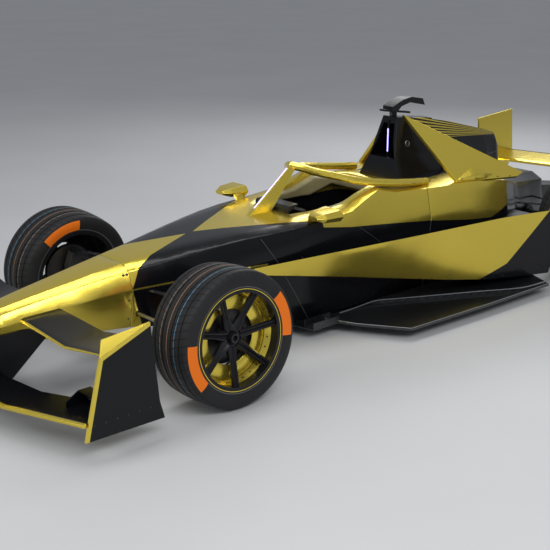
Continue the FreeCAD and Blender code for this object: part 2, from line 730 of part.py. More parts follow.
def power_unit_space():
    front = behind_axle(POWER_FRONT)
    return box(front - POWER_LENGTH - RUN_GAP, front + RUN_GAP, -POWER_HALF_WIDTH - RUN_GAP,
               POWER_HALF_WIDTH + RUN_GAP, POWER_BASE, POWER_TOP + RUN_GAP)


def sidepod(side):
    """Wedge-shaped sidepod: a long crease that rises outward, with an undercut flank."""
    wires = []
    for row in eased_rows(SIDEPOD_SHARES, POD_STEPS):
        x = body_x(row[0])
        dip = V(x, body_y(row[1]), body_z(row[2]))
        crease = V(x, body_y(row[3]), body_z(row[4]))
        bottom = V(x, body_y(row[5]), body_z(row[6]))
        wires.append(closed_wire([V(x, 0, dip.z), dip, crease, bottom, V(x, 0, bottom.z)]))
    return on_side(ruled_loft(wires).cut(grown_body()), side)


def flat_plate(shares, low, thick):
    """Level plate over an outline of shares, one side of the car."""
    return prism([V(body_x(x), body_y(y), low) for x, y in shares], V(0, 0, thick))


def diffuser():
    """Kicked-up tail of the floor, with upright strakes below it."""
    start = body_x(DIFFUSER_START_SHARE)
    end = body_x(DIFFUSER_END_SHARE)
    half = body_y(DIFFUSER_HALF_WIDTH_SHARE)
    low = FLOOR_HEIGHT
    high = low + DIFFUSER_RISE
    thick = FLOOR_THICKNESS
    solid = prism([V(start + OVERRUN, -half, low), V(start + OVERRUN, -half, low + thick), V(end, -half, high + thick),
                   V(end, -half, high)], V(0, half * 2, 0))
    for share in STRAKE_SHARES:
        for side in (1, -1):
            y = side * body_y(share) - STRAKE_THICKNESS / 2
            strake = prism([V(start, y, low), V(start, y, low + thick / 2), V(end, y, high + thick / 2),
                            V(end, y, high - STRAKE_DEPTH)], V(0, STRAKE_THICKNESS, 0))
            solid = solid.fuse(strake)
    return solid


def floor_fences(side):
    """Slotted tongue ahead of the floor with two small upright fences."""
    tongue = flat_plate(FLOOR_TONGUE_SHARES, FLOOR_HEIGHT, FLOOR_FENCE_THICKNESS)
    front = body_x(FLOOR_TONGUE_SHARES[1][0])
    rear = body_x(FLOOR_TONGUE_SHARES[2][0])
    for share in (FLOOR_TONGUE_SHARES[1][1], (FLOOR_TONGUE_SHARES[0][1] + FLOOR_TONGUE_SHARES[1][1]) / 2):
        y = body_y(share)
        tongue = tongue.fuse(box(rear, front, y - FLOOR_FENCE_THICKNESS, y, FLOOR_HEIGHT,
                                 FLOOR_HEIGHT + FLOOR_FENCE_HEIGHT))
    return on_side(tongue, side)


def floor():
    """Wide floor with a raised platform under each sidepod, tongues ahead and the diffuser behind."""
    outline = FLOOR_SHARES + [(x, -y) for x, y in reversed(FLOOR_SHARES)]
    solid = flat_plate(outline, FLOOR_HEIGHT, FLOOR_THICKNESS)
    for side in (1, -1):
        platform = flat_plate(PLATFORM_SHARES, FLOOR_HEIGHT + FLOOR_THICKNESS, PLATFORM_THICKNESS)
        solid = solid.fuse(on_side(platform, side)).fuse(floor_fences(side))
    return solid.fuse(diffuser()).cut(grown_body())


def plank():
    """Skid plank under the middle of the floor."""
    top = FLOOR_HEIGHT
    start = body_x(TUB_SHARES[4][0])
    return box(body_x(-0.9), start, -PLANK_HALF_WIDTH, PLANK_HALF_WIDTH, top - PLANK_THICKNESS, top)


def blister():
    """Faired bulge over the fin's foot."""
    wires = []
    for x, y, z, size in BLISTER_SHARES:
        middle = V(body_x(x), body_y(y), body_z(z))
        half = BLISTER_HALF_WIDTH * size
        high = BLISTER_HEIGHT * size
        wires.append(closed_wire([middle + V(0, half, -high * 0.6), middle + V(0, half, high * 0.2),
                                  middle + V(0, half * 0.2, high), middle + V(0, -half, high * 0.5),
                                  middle + V(0, -half, -high)]))
    return ruled_loft(wires)


def fin(side):
    """Large leaning fin from the airbox's top to the tail of the sidepod."""
    def corner(share):
        return V(body_x(share[0]), body_y(share[1]), body_z(share[2]))
    apex = corner(FIN_APEX_SHARE)
    foot = corner(FIN_FOOT_SHARE)
    tip = corner(FIN_TIP_SHARE)
    heel = corner(FIN_HEEL_SHARE)
    normal = (foot - apex).cross(tip - apex)
    normal.normalize()
    flat_heel = heel - normal * (heel - apex).dot(normal)
    blade = prism([apex, foot, flat_heel, tip], normal * -FIN_THICKNESS).fuse(blister())
    return on_side(blade.cut(grown_body()).cut(airbox_tower(SEAT_GAP)), side)


def airfoil(lead, chord, thickness, pitch_deg):
    """Wing section in the XZ plane at the leading point's Y, nose forward, pitched tail-up."""
    tilt = math.radians(pitch_deg)
    points = []
    for along, above in AIRFOIL_SHARES:
        back = along * chord
        up = above * thickness
        x = lead.x - back * math.cos(tilt) + up * math.sin(tilt)
        z = lead.z + back * math.sin(tilt) + up * math.cos(tilt)
        points.append(V(x, lead.y, z))
    return closed_wire(points)


def lower_wing():
    """Lower wing plane, swept back and lifted towards its tips, on two pylons under the nose."""
    tip_y = ENDPLATE_Y - SEAT_GAP
    lead_x = ahead_of_axle(LOWER_LEAD)
    stations = [
        (V(lead_x - LOWER_SWEEP * 1.2, tip_y, LOWER_HEIGHT + LOWER_TIP_RISE), LOWER_CHORD * 1.2),
        (V(lead_x, tip_y * 0.45, LOWER_HEIGHT), LOWER_CHORD * 1.05),
        (V(lead_x + LOWER_SWEEP * 0.35, 0, LOWER_HEIGHT), LOWER_CHORD),
    ]
    stations += [(V(lead.x, -lead.y, lead.z), chord) for lead, chord in reversed(stations[:-1])]
    solid = ruled_loft([airfoil(lead, chord, WING_THICKNESS * 1.6, 6) for lead, chord in stations])
    front = lead_x - LOWER_CHORD * 0.25
    high = FRONT_TYRE_RADIUS * 1.1
    for side in (1, -1):
        y = side * (PYLON_Y - PYLON_THICKNESS) - PYLON_THICKNESS / 2
        pylon = prism([V(front - LOWER_CHORD * 0.1, y, LOWER_HEIGHT), V(front - PYLON_LENGTH * 0.45, y, LOWER_HEIGHT),
                       V(front - PYLON_LENGTH * 1.25, y, high), V(front - PYLON_LENGTH * 0.1, y, high)],
                      V(0, PYLON_THICKNESS, 0))
        solid = solid.fuse(pylon).fuse(wing_fence(side))
    return solid.cut(grown_body())


def wing_fence(side):
    """Small upright fence on the lower plane, with a level shelf out to the endplate."""
    front = ahead_of_axle(LOWER_LEAD) - LOWER_SWEEP * 1.6
    rear = front - FENCE_LENGTH
    low = LOWER_HEIGHT + LOWER_TIP_RISE
    top = FENCE_TOP
    y = FENCE_Y
    fence = prism([V(front, y, low), V(front, y, (low + top) / 2), V((front + rear) / 2, y, top), V(rear, y, top),
                   V(rear, y, low)], V(0, FENCE_THICKNESS, 0))
    shelf = box(rear, (front + rear) / 2, y, ENDPLATE_Y - SEAT_GAP, top - FENCE_THICKNESS, top)
    return on_side(fence.fuse(shelf), side)


def upper_wing(side):
    """Upper wing plane from the nose's flank to the endplate, dipped in the middle of its span."""
    lead_x = ahead_of_axle(UPPER_LEAD)
    stations = [
        (V(lead_x, body_y(0.11), UPPER_ROOT_HEIGHT), UPPER_CHORD),
        (V(lead_x, UPPER_ROOT_Y, UPPER_ROOT_HEIGHT), UPPER_CHORD),
        (V(lead_x - UPPER_PITCH, UPPER_KINK_Y, UPPER_KINK_HEIGHT), UPPER_CHORD * 1.05),
        (V(lead_x, ENDPLATE_Y - SEAT_GAP, UPPER_TIP_HEIGHT), UPPER_CHORD * 1.1),
    ]
    plane = ruled_loft([airfoil(lead, chord, WING_THICKNESS * 1.3, 7) for lead, chord in stations])
    return on_side(plane.cut(grown_body()), side)


def front_endplate(side):
    """Upright endplate with a raked front edge, and a three-cornered winglet that leans in from its top."""
    y = ENDPLATE_Y
    outline = [V(ahead_of_axle(FRONT_OVERHANG * x), y, body_z(z)) for x, z in ENDPLATE_SHARES]
    plate = prism(outline, V(0, ENDPLATE_THICKNESS, 0))
    root = V(0, ENDPLATE_THICKNESS / 2, 0)
    top_front = outline[1] + root
    top_rear = outline[2] + root
    fold = outline[1] + V(-ENDPLATE_FOLD * 0.94, -ENDPLATE_FOLD, ENDPLATE_FOLD * 1.06)
    normal = (top_rear - top_front).cross(fold - top_front)
    normal.normalize()
    winglet = prism([top_front, top_rear, fold], normal * -FOLD_THICKNESS)
    return on_side(plate.fuse(winglet), side)


def wheel_height(radius, camber_deg):
    """Height of a wheel's middle at which its crowned tread just meets the ground."""
    camber = math.radians(camber_deg)
    return radius * math.cos(camber) + TREAD_CROWN_RADIUS * (1 - math.cos(camber))


def front_wheel_height():
    return wheel_height(FRONT_TYRE_RADIUS, FRONT_CAMBER_DEG)


def wheel_middle_y(radius, width, camber_deg):
    """Y of a left wheel's middle, with its lowest sidewall bulge at the overall half width."""
    camber = math.radians(camber_deg)
    bulge_radius = BEAD_RADIUS + (radius - BEAD_RADIUS) * 0.5
    return HALF_WIDTH - width / 2 * math.cos(camber) - bulge_radius * math.sin(camber)


def wheel_placement(axle_x, radius, width, camber_deg):
    """Place of a wheel that is drawn round the Y axis with its outer face towards +Y."""
    y = wheel_middle_y(radius, width, camber_deg)
    z = wheel_height(radius, camber_deg)
    return FreeCAD.Placement(V(axle_x, y, z), FreeCAD.Rotation(V(1, 0, 0), camber_deg))


def placed(shape, axle_x, radius, width, camber_deg, side):
    shape.Placement = wheel_placement(axle_x, radius, width, camber_deg)
    return on_side(shape, side)


def sidewall_arc(end, bulge):
    """Arc from a point of a tyre's section to its bulge, upright where it meets the bulge."""
    side = math.copysign(1, bulge.y)
    fall = abs(bulge.y - end.y)
    rise = end.z - bulge.z
    curve = (fall ** 2 + rise ** 2) / (2 * fall)
    centre = V(0, bulge.y - side * curve, bulge.z)
    half_angle = math.atan2(rise, abs(end.y - centre.y)) / 2
    middle = V(0, centre.y + side * curve * math.cos(half_angle), centre.z + curve * math.sin(half_angle))
    return Part.Arc(end, middle, bulge).toShape()


def tyre_body(radius, width):
    """Tyre of revolution: crowned tread, round shoulders, bulged sidewalls, open at the beads."""
    half = width / 2
    wall = radius - BEAD_RADIUS
    bead_half = half - RIM_INSET
    tread_half = half * 0.86
    crown_drop = tread_half ** 2 / (2 * TREAD_CROWN_RADIUS)
    tread_edge = V(0, tread_half, radius - crown_drop)
    bulge = V(0, half, BEAD_RADIUS + wall * 0.5)
    bead_out = V(0, bead_half + RIM_WALL, RIM_FLANGE_RADIUS + SEAT_GAP)
    bead_in = V(0, bead_half - RIM_WALL, BEAD_RADIUS + SEAT_GAP)
    liner = V(0, bead_half * 0.9, BEAD_RADIUS + wall * 0.5)

    def flip(p):
        return V(0, -p.y, p.z)
    bead_toe = V(0, bead_half, RIM_FLANGE_RADIUS + SEAT_GAP)
    bead_heel = V(0, bead_half, BEAD_RADIUS + SEAT_GAP)
    inner_crown = V(0, 0, radius - RIM_WALL * 2)
    edges = [
        Part.Arc(flip(tread_edge), V(0, 0, radius), tread_edge).toShape(),
        sidewall_arc(tread_edge, bulge),
        sidewall_arc(bead_out, bulge),
        Part.makeLine(bead_out, bead_toe),
        Part.makeLine(bead_toe, bead_heel),
        Part.makeLine(bead_heel, bead_in),
        Part.makeLine(bead_in, liner),
        Part.makeLine(liner, V(0, liner.y, inner_crown.z - RIM_WALL)),
        Part.makeLine(V(0, liner.y, inner_crown.z - RIM_WALL), V(0, -liner.y, inner_crown.z - RIM_WALL)),
        Part.makeLine(V(0, -liner.y, inner_crown.z - RIM_WALL), flip(liner)),
        Part.makeLine(flip(liner), flip(bead_in)),
        Part.makeLine(flip(bead_in), flip(bead_heel)),
        Part.makeLine(flip(bead_heel), flip(bead_toe)),
        Part.makeLine(flip(bead_toe), flip(bead_out)),
        sidewall_arc(flip(bead_out), flip(bulge)),
        sidewall_arc(flip(tread_edge), flip(bulge)),
    ]
    return Part.Face(Part.Wire(edges)).revolve(V(0, 0, 0), V(0, 1, 0), 360)


def revolved(points):
    """Ring or disc turned from a flat outline about the Y axis."""
    return Part.Face(closed_wire(points)).revolve(V(0, 0, 0), V(0, 1, 0), 360)


def rim_barrel(width):
    """Rim barrel: flanges, bead seats and the dropped well."""
    half = width / 2 - RIM_INSET
    seat = BEAD_RADIUS
    flange = RIM_FLANGE_RADIUS
    well = seat - RIM_WELL_DEPTH
    wall = RIM_WALL
    outline = [
        V(0, half + wall, flange), V(0, half, flange), V(0, half, seat), V(0, half * 0.62, seat),
        V(0, half * 0.45, well), V(0, -half * 0.2, well), V(0, -half * 0.4, seat), V(0, -half, seat),
        V(0, -half, flange), V(0, -half - wall, flange), V(0, -half - wall, seat - wall),
        V(0, -half * 0.36, seat - wall), V(0, -half * 0.16, well - wall), V(0, half * 0.42, well - wall),
        V(0, half * 0.66, seat - wall), V(0, half + wall, seat - wall),
    ]
    return revolved(outline)


def spoke(width):
    """One spoke: two ridges with a groove between them, narrowing from the hub to the rim."""
    half = width / 2 - RIM_INSET
    hub_y = half - HUB_FACE_INSET * 0.72
    tip_y = half - RIM_WALL * 1.4
    tip_radius = BEAD_RADIUS - RIM_WALL * 0.5
    wires = []
    for radius, face, wide, deep in ((HUB_RADIUS * 0.7, hub_y, SPOKE_ROOT_WIDTH, SPOKE_DEPTH * 1.5),
                                     (HUB_RADIUS * 1.9, hub_y + RIM_WALL, SPOKE_TIP_WIDTH * 1.1, SPOKE_DEPTH * 1.2),
                                     (tip_radius, tip_y, SPOKE_TIP_WIDTH, SPOKE_DEPTH)):
        side = wide / 2
        ridge = side * 0.34
        groove = min(SPOKE_GROOVE, deep / 2)
        wires.append(closed_wire([
            V(-side, face - deep * 0.3, radius), V(-side + ridge, face, radius), V(-side + ridge * 1.7, face, radius),
            V(0, face - groove, radius), V(side - ridge * 1.7, face, radius), V(side - ridge, face, radius),
            V(side, face - deep * 0.3, radius), V(side * 0.8, face - deep, radius), V(-side * 0.8, face - deep, radius)]))
    return ruled_loft(wires)


def wheel_hub(width):
    """Hub of the wheel with its centre nut outside and the axle stub inside."""
    half = width / 2 - RIM_INSET
    face = half - HUB_FACE_INSET
    nut_face = face + NUT_DEPTH
    hub = Part.makeCylinder(HUB_RADIUS, HUB_DEPTH, V(0, face - HUB_DEPTH, 0), V(0, 1, 0))
    nut = Part.makeCone(NUT_RADIUS, NUT_RADIUS * 0.8, NUT_DEPTH, V(0, face, 0), V(0, 1, 0))
    nut_bore = Part.makeCylinder(NUT_RADIUS * 0.45, NUT_DEPTH, V(0, nut_face - NUT_DEPTH * 0.6, 0), V(0, 1, 0))
    return hub.fuse(nut).cut(nut_bore)


def axle_stub(width, inner_y):
    half = width / 2 - RIM_INSET
    start = half - HUB_FACE_INSET - HUB_DEPTH
    return Part.makeCylinder(AXLE_RADIUS, start - inner_y + OVERRUN, V(0, inner_y, 0), V(0, 1, 0))


def rim(width, inner_y):
    """Wheel in one piece: barrel, seven spokes, hub, nut and axle stub."""
    solid = rim_barrel(width)
    blade = spoke(width)
    for i in range(SPOKE_COUNT):
        turned = blade.copy()
        turned.rotate(V(0, 0, 0), V(0, 1, 0), SPOKE_PHASE_DEG + i * 360 / SPOKE_COUNT)
        solid = solid.fuse(turned)
    solid = solid.fuse(wheel_hub(width))
    return solid.fuse(axle_stub(width, inner_y))


def stub_end():
    """Y of an axle stub's inner end, just past its upright, in the wheel's own frame."""
    return -KINGPIN_INSET - UPRIGHT_THICKNESS / 2 - OVERRUN


def brake_disc():
    """Vented front brake disc on the axle stub, just outboard of the upright."""
    y = -KINGPIN_INSET + UPRIGHT_THICKNESS / 2 + DISC_GAP
    disc = Part.makeCylinder(DISC_RADIUS, DISC_THICKNESS, V(0, y, 0), V(0, 1, 0))
    bore = Part.makeCylinder(AXLE_RADIUS + BORE_GAP, DISC_THICKNESS * 2, V(0, y - OVERRUN, 0), V(0, 1, 0))
    return disc.cut(bore)


def wheel_frame(axle_x, radius, width, camber_deg):
    """Middle of a left wheel, and its outward and upward directions."""
    place = wheel_placement(axle_x, radius, width, camber_deg)
    out = place.Rotation.multVec(V(0, 1, 0))
    up = place.Rotation.multVec(V(0, 0, 1))
    return place.Base, out, up


def kingpin_y():
    """Y of the left steering axis, which stands upright inboard of the wheel's middle."""
    return wheel_middle_y(FRONT_TYRE_RADIUS, FRONT_TYRE_WIDTH, FRONT_CAMBER_DEG) - KINGPIN_INSET


def front_upright(side):
    """Front upright: bored for the axle, pinned top and bottom, with its steering arm and caliper."""
    z = front_wheel_height()
    y = kingpin_y()
    half_t = UPRIGHT_THICKNESS / 2
    half_l = UPRIGHT_LENGTH / 2
    high = UPRIGHT_HALF_HEIGHT
    x = FRONT_AXLE_X
    outline = [V(x - half_l * 0.45, y - half_t, z - high), V(x + half_l * 0.45, y - half_t, z - high),
               V(x + half_l, y - half_t, z - high * 0.35), V(x + half_l, y - half_t, z + high * 0.35),
               V(x + half_l * 0.4, y - half_t, z + high), V(x - half_l * 0.4, y - half_t, z + high),
               V(x - half_l, y - half_t, z + high * 0.35), V(x - half_l, y - half_t, z - high * 0.35)]
    block = prism(outline, V(0, UPRIGHT_THICKNESS, 0))
    arm_z = z - STEER_ARM_DROP
    arm_end = V(x + STEER_ARM_LENGTH, y, arm_z)
    arm = box(x + half_l * 0.5, arm_end.x, y - EYE_RADIUS * 0.6, y + EYE_RADIUS * 0.6,
              arm_z - STEER_ARM_THICKNESS, arm_z - TIE_EYE_HEIGHT / 2 - SEAT_GAP)
    boss = Part.makeCylinder(EYE_RADIUS, STEER_ARM_THICKNESS - TIE_EYE_HEIGHT / 2 - SEAT_GAP,
                             V(arm_end.x, y, arm_z - STEER_ARM_THICKNESS), V(0, 0, 1))
    tie_pin = Part.makeCylinder(TIE_PIN_RADIUS, STEER_ARM_THICKNESS + TIE_EYE_HEIGHT / 2,
                                V(arm_end.x, y, arm_z - STEER_ARM_THICKNESS), V(0, 0, 1))
    reach = EYE_HEIGHT + SEAT_GAP
    king = Part.makeCylinder(BALL_PIN_RADIUS, high * 2 + reach * 2, V(x, y, z - high - reach), V(0, 0, 1))
    solid = block.fuse(arm).fuse(boss).fuse(tie_pin).fuse(king)
    middle, out, up = wheel_frame(FRONT_AXLE_X, FRONT_TYRE_RADIUS, FRONT_TYRE_WIDTH, FRONT_CAMBER_DEG)
    bore = Part.makeCylinder(AXLE_RADIUS + BORE_GAP, WIDTH, middle - out * HALF_WIDTH, out)
    solid = solid.cut(bore).fuse(caliper(middle, out, up))
    return on_side(solid, side)


def caliper(middle, out, up):
    """Brake caliper over the disc's rear edge, carried on the upright's back."""
    y_disc = -KINGPIN_INSET + UPRIGHT_THICKNESS / 2 + DISC_GAP
    gap = DISC_THICKNESS / 2 + RUN_GAP
    y_mid = y_disc + DISC_THICKNESS / 2
    y0 = -KINGPIN_INSET - UPRIGHT_THICKNESS / 4
    y1 = y_mid + gap + CALIPER_WALL
    x_in = -DISC_RADIUS + CALIPER_LENGTH * 0.55
    x_out = -DISC_RADIUS - CALIPER_WALL * 1.4
    half = CALIPER_HEIGHT / 2
    shell = box(x_out, x_in, y0, y1, -half, half)
    slot = Part.makeCylinder(DISC_RADIUS + RUN_GAP, gap * 2, V(0, y_mid - gap, 0), V(0, 1, 0))
    arm = box(x_in - OVERRUN, -UPRIGHT_LENGTH * 0.3, y0, -KINGPIN_INSET + UPRIGHT_THICKNESS / 2,
              -half * 0.4, half * 0.4)
    solid = shell.cut(slot).fuse(arm)
    bore = Part.makeCylinder(AXLE_RADIUS + BORE_GAP, WIDTH, V(0, -HALF_WIDTH, 0), V(0, 1, 0))
    solid = solid.cut(bore)
    solid.Placement = FreeCAD.Placement(middle, FreeCAD.Rotation(V(1, 0, 0), FRONT_CAMBER_DEG))
    return solid


def steering_rack():
    """Rack bar with both track rods in line; each rod's outer eye floats round its arm's pin."""
    z = front_wheel_height() - STEER_ARM_DROP
    x = FRONT_AXLE_X + STEER_ARM_LENGTH
    y = kingpin_y()
    bar = Part.makeCylinder(TIE_ROD_RADIUS, y * 2, V(x, -y, z), V(0, 1, 0))
    solid = bar
    for side in (1, -1):
        eye = Part.makeCylinder(TIE_EYE_RADIUS, TIE_EYE_HEIGHT, V(x, side * y, z - TIE_EYE_HEIGHT / 2), V(0, 0, 1))
        solid = solid.fuse(eye)
    for side in (1, -1):
        hole = Part.makeCylinder(TIE_EYE_BORE, TIE_EYE_HEIGHT * 2, V(x, side * y, z - TIE_EYE_HEIGHT), V(0, 0, 1))
        solid = solid.cut(hole)
    return solid


def leg(start, end):
    """Flattened suspension leg, its long section lying fore and aft."""
    line = end - start
    wires = []
    for point in (start, end):
        half_c = LEG_CHORD / 2
        half_t = LEG_THICKNESS / 2
        wires.append(closed_wire([
            V(point.x + half_c, point.y, point.z), V(point.x + half_c * 0.5, point.y, point.z + half_t),
            V(point.x - half_c * 0.4, point.y, point.z + half_t * 0.8), V(point.x - half_c, point.y, point.z),
            V(point.x - half_c * 0.4, point.y, point.z - half_t * 0.8),
            V(point.x + half_c * 0.5, point.y, point.z - half_t)]))
    return ruled_loft(wires)


def wishbone(pivot, eye_base, inner_front, inner_rear):
    """Two legs from an outer eye on the steering axis to the body."""
    eye = Part.makeCylinder(EYE_RADIUS, EYE_HEIGHT, V(pivot.x, pivot.y, eye_base), V(0, 0, 1))
    bore = Part.makeCylinder(BALL_PIN_RADIUS + BORE_GAP, EYE_HEIGHT * 2, V(pivot.x, pivot.y, eye_base - EYE_HEIGHT / 2),
                             V(0, 0, 1))
    mid = V(pivot.x, pivot.y - EYE_RADIUS * 0.5, eye_base + EYE_HEIGHT / 2)
    solid = eye.fuse(leg(mid, inner_front)).fuse(leg(mid, inner_rear))
    return solid.cut(bore)


def front_suspension(side):
    """Front wishbones with their pushrod, from the uprights' pins to the nose of the tub."""
    z = front_wheel_height()
    x = FRONT_AXLE_X
    pivot = V(x, kingpin_y(), z)
    upper_base = z + UPRIGHT_HALF_HEIGHT + SEAT_GAP
    lower_base = z - UPRIGHT_HALF_HEIGHT - SEAT_GAP - EYE_HEIGHT
    inner_y = HUB_RADIUS * 2
    upper = wishbone(pivot, upper_base, V(x + LEG_MOUNT_SPREAD * 0.30, inner_y, z + UPRIGHT_HALF_HEIGHT * 0.85),
                     V(x - LEG_MOUNT_SPREAD * 1.15, inner_y, z + UPRIGHT_HALF_HEIGHT * 0.85))
    lower = wishbone(pivot, lower_base, V(x + LEG_MOUNT_SPREAD * 0.30, inner_y, z - UPRIGHT_HALF_HEIGHT * 0.45),
                     V(x - LEG_MOUNT_SPREAD * 1.15, inner_y, z - UPRIGHT_HALF_HEIGHT * 0.45))
    foot = V(x - LEG_CHORD, pivot.y - EYE_RADIUS * 3.4, lower_base + EYE_HEIGHT * 1.2)
    head = V(x - LEG_MOUNT_SPREAD * 0.55, inner_y, z + UPRIGHT_HALF_HEIGHT * 0.45)
    push = rod(foot, head, PUSHROD_RADIUS)
    solid = upper.fuse(lower).fuse(push)
    return on_side(solid.cut(grown_body()), side)


def rear_pivot():
    middle, out, up = wheel_frame(REAR_AXLE_X, REAR_TYRE_RADIUS, REAR_TYRE_WIDTH, REAR_CAMBER_DEG)
    return V(REAR_AXLE_X, middle.y - KINGPIN_INSET, middle.z)


def rear_upright(side):
    """Rear upright, bored for the driven axle."""
    pivot = rear_pivot()
    half_t = UPRIGHT_THICKNESS / 2
    half_l = UPRIGHT_LENGTH / 2
    high = UPRIGHT_HALF_HEIGHT
    x, y, z = pivot.x, pivot.y, pivot.z
    outline = [V(x - half_l * 0.6, y - half_t, z - high), V(x + half_l * 0.6, y - half_t, z - high),
               V(x + half_l, y - half_t, z), V(x + half_l * 0.6, y - half_t, z + high),
               V(x - half_l * 0.6, y - half_t, z + high), V(x - half_l, y - half_t, z)]
    block = prism(outline, V(0, UPRIGHT_THICKNESS, 0))
    middle, out, up = wheel_frame(REAR_AXLE_X, REAR_TYRE_RADIUS, REAR_TYRE_WIDTH, REAR_CAMBER_DEG)
    bore = Part.makeCylinder(AXLE_RADIUS + BORE_GAP, WIDTH, middle - out * HALF_WIDTH, out)
    return on_side(block.cut(bore), side)


def rear_suspension(side):
    """Rear wishbones and toe link from the upright to the rear body."""
    pivot = rear_pivot()
    inner_y = body_y(0.16)
    y = pivot.y - UPRIGHT_THICKNESS / 2 - SEAT_GAP
    spread = LEG_MOUNT_SPREAD
    legs = [
        (V(pivot.x + LEG_CHORD * 0.4, y, pivot.z + UPRIGHT_HALF_HEIGHT * 0.8),
         V(pivot.x + spread * 0.8, inner_y, pivot.z + UPRIGHT_HALF_HEIGHT * 0.6)),
        (V(pivot.x - LEG_CHORD * 0.4, y, pivot.z + UPRIGHT_HALF_HEIGHT * 0.8),
         V(pivot.x - spread * 0.6, inner_y, pivot.z + UPRIGHT_HALF_HEIGHT * 0.6)),
        (V(pivot.x + LEG_CHORD * 0.4, y, pivot.z - UPRIGHT_HALF_HEIGHT * 0.8),
         V(pivot.x + spread, inner_y, pivot.z - UPRIGHT_HALF_HEIGHT * 0.7)),
        (V(pivot.x - LEG_CHORD * 0.4, y, pivot.z - UPRIGHT_HALF_HEIGHT * 0.8),
         V(pivot.x - spread * 0.6, inner_y, pivot.z - UPRIGHT_HALF_HEIGHT * 0.7)),
    ]
    solid = leg(*legs[0])
    for start, end in legs[1:]:
        solid = solid.fuse(leg(start, end))
    return on_side(solid.cut(grown_body()), side)


def driveshaft(side):
    """Half shaft in line with the axle stub, running to the gearbox's side."""
    middle, out, up = wheel_frame(REAR_AXLE_X, REAR_TYRE_RADIUS, REAR_TYRE_WIDTH, REAR_CAMBER_DEG)
    start = middle + out * (stub_end() - SEAT_GAP)
    length = (start.y - body_y(SHAFT_INNER_SHARE)) / out.y
    shaft = Part.makeCylinder(AXLE_RADIUS * 0.7, length, start - out * length, out)
    return on_side(shaft, side)


def crash_structure():
    """Rear crash structure: a tapering box from the gearbox to the tail."""
    row = COVER_SHARES[-1]
    x0 = body_x(row[0])
    z_low = body_z(row[8])
    z_high = body_z(row[4])
    half = body_y(row[5]) * 0.7
    tail = TAIL_X + RAIN_LIGHT_DEPTH + SEAT_GAP
    low = [V(x0, -half, z_low * 1.3), V(x0, half, z_low * 1.3), V(x0, half, z_high * 0.9), V(x0, -half, z_high * 0.9)]
    rear_half = half * 0.6
    high = [V(tail, -rear_half, z_low * 1.7), V(tail, rear_half, z_low * 1.7), V(tail, rear_half, z_high * 0.72),
            V(tail, -rear_half, z_high * 0.72)]
    return tapered(low, high)


def rain_light():
    """Square lamp at the very tail."""
    row = COVER_SHARES[-1]
    half = body_y(row[5]) * 0.4
    z_low = body_z(row[8]) * 1.7
    z_high = body_z(row[4]) * 0.72
    return box(TAIL_X, TAIL_X + RAIN_LIGHT_DEPTH, -half, half, z_low, z_high)


def rear_wing():
    """Low rear wing plane on the crash structure, slightly raised in the middle."""
    half = WING_SPAN_HALF - SEAT_GAP
    lead_x = TAIL_X + REAR_WING_CHORD + RAIN_LIGHT_DEPTH
    stations = [V(lead_x, half, REAR_WING_HEIGHT), V(lead_x, 0, REAR_WING_HEIGHT + REAR_WING_THICKNESS),
                V(lead_x, -half, REAR_WING_HEIGHT)]
    plane = ruled_loft([airfoil(p, REAR_WING_CHORD, REAR_WING_THICKNESS, REAR_WING_PITCH) for p in stations])
    post_z = COVER_SHARES[-1][4] * HOOP_HEIGHT * 0.7
    post = box(lead_x - REAR_WING_CHORD * 0.6, lead_x - REAR_WING_CHORD * 0.2, -REAR_WING_THICKNESS,
               REAR_WING_THICKNESS, post_z, REAR_WING_HEIGHT + REAR_WING_THICKNESS)
    grown = crash_structure()
    return plane.fuse(post.cut(grown))


def rear_endplate(side):
    """Swept endplate of the rear wing."""
    y = WING_SPAN_HALF
    top = REAR_ENDPLATE_TOP
    chord = REAR_WING_CHORD
    front = TAIL_X + chord * 1.75
    outline = [V(TAIL_X, y, REAR_WING_HEIGHT), V(TAIL_X + chord * 0.16, y, top), V(front, y, top - chord * 0.12),
               V(front - chord * 0.1, y, REAR_WING_HEIGHT + chord * 0.3), V(front - chord * 0.5, y, REAR_ENDPLATE_FOOT),
               V(TAIL_X + chord * 0.2, y, REAR_ENDPLATE_FOOT)]
    return on_side(prism(outline, V(0, REAR_ENDPLATE_THICKNESS, 0)), side)


def mirror_section(x, y, z, half_w, half_h):
    """Six-sided section of a mirror's housing."""
    return [V(x, y - half_w, z), V(x, y - half_w * 0.7, z - half_h), V(x, y + half_w * 0.7, z - half_h),
            V(x, y + half_w, z), V(x, y + half_w * 0.7, z + half_h), V(x, y - half_w * 0.7, z + half_h)]


def stalk_section(x, y, z, chord):
    """Level section of a mirror's stalk, thick in the middle and sharp at both edges."""
    half = chord / 2
    thick = MIRROR_STALK_THICKNESS / 2
    return [V(x + half, y, z), V(x + half * 0.4, y + thick, z), V(x - half * 0.4, y + thick, z),
            V(x - half, y, z), V(x - half * 0.4, y - thick, z), V(x + half * 0.4, y - thick, z)]


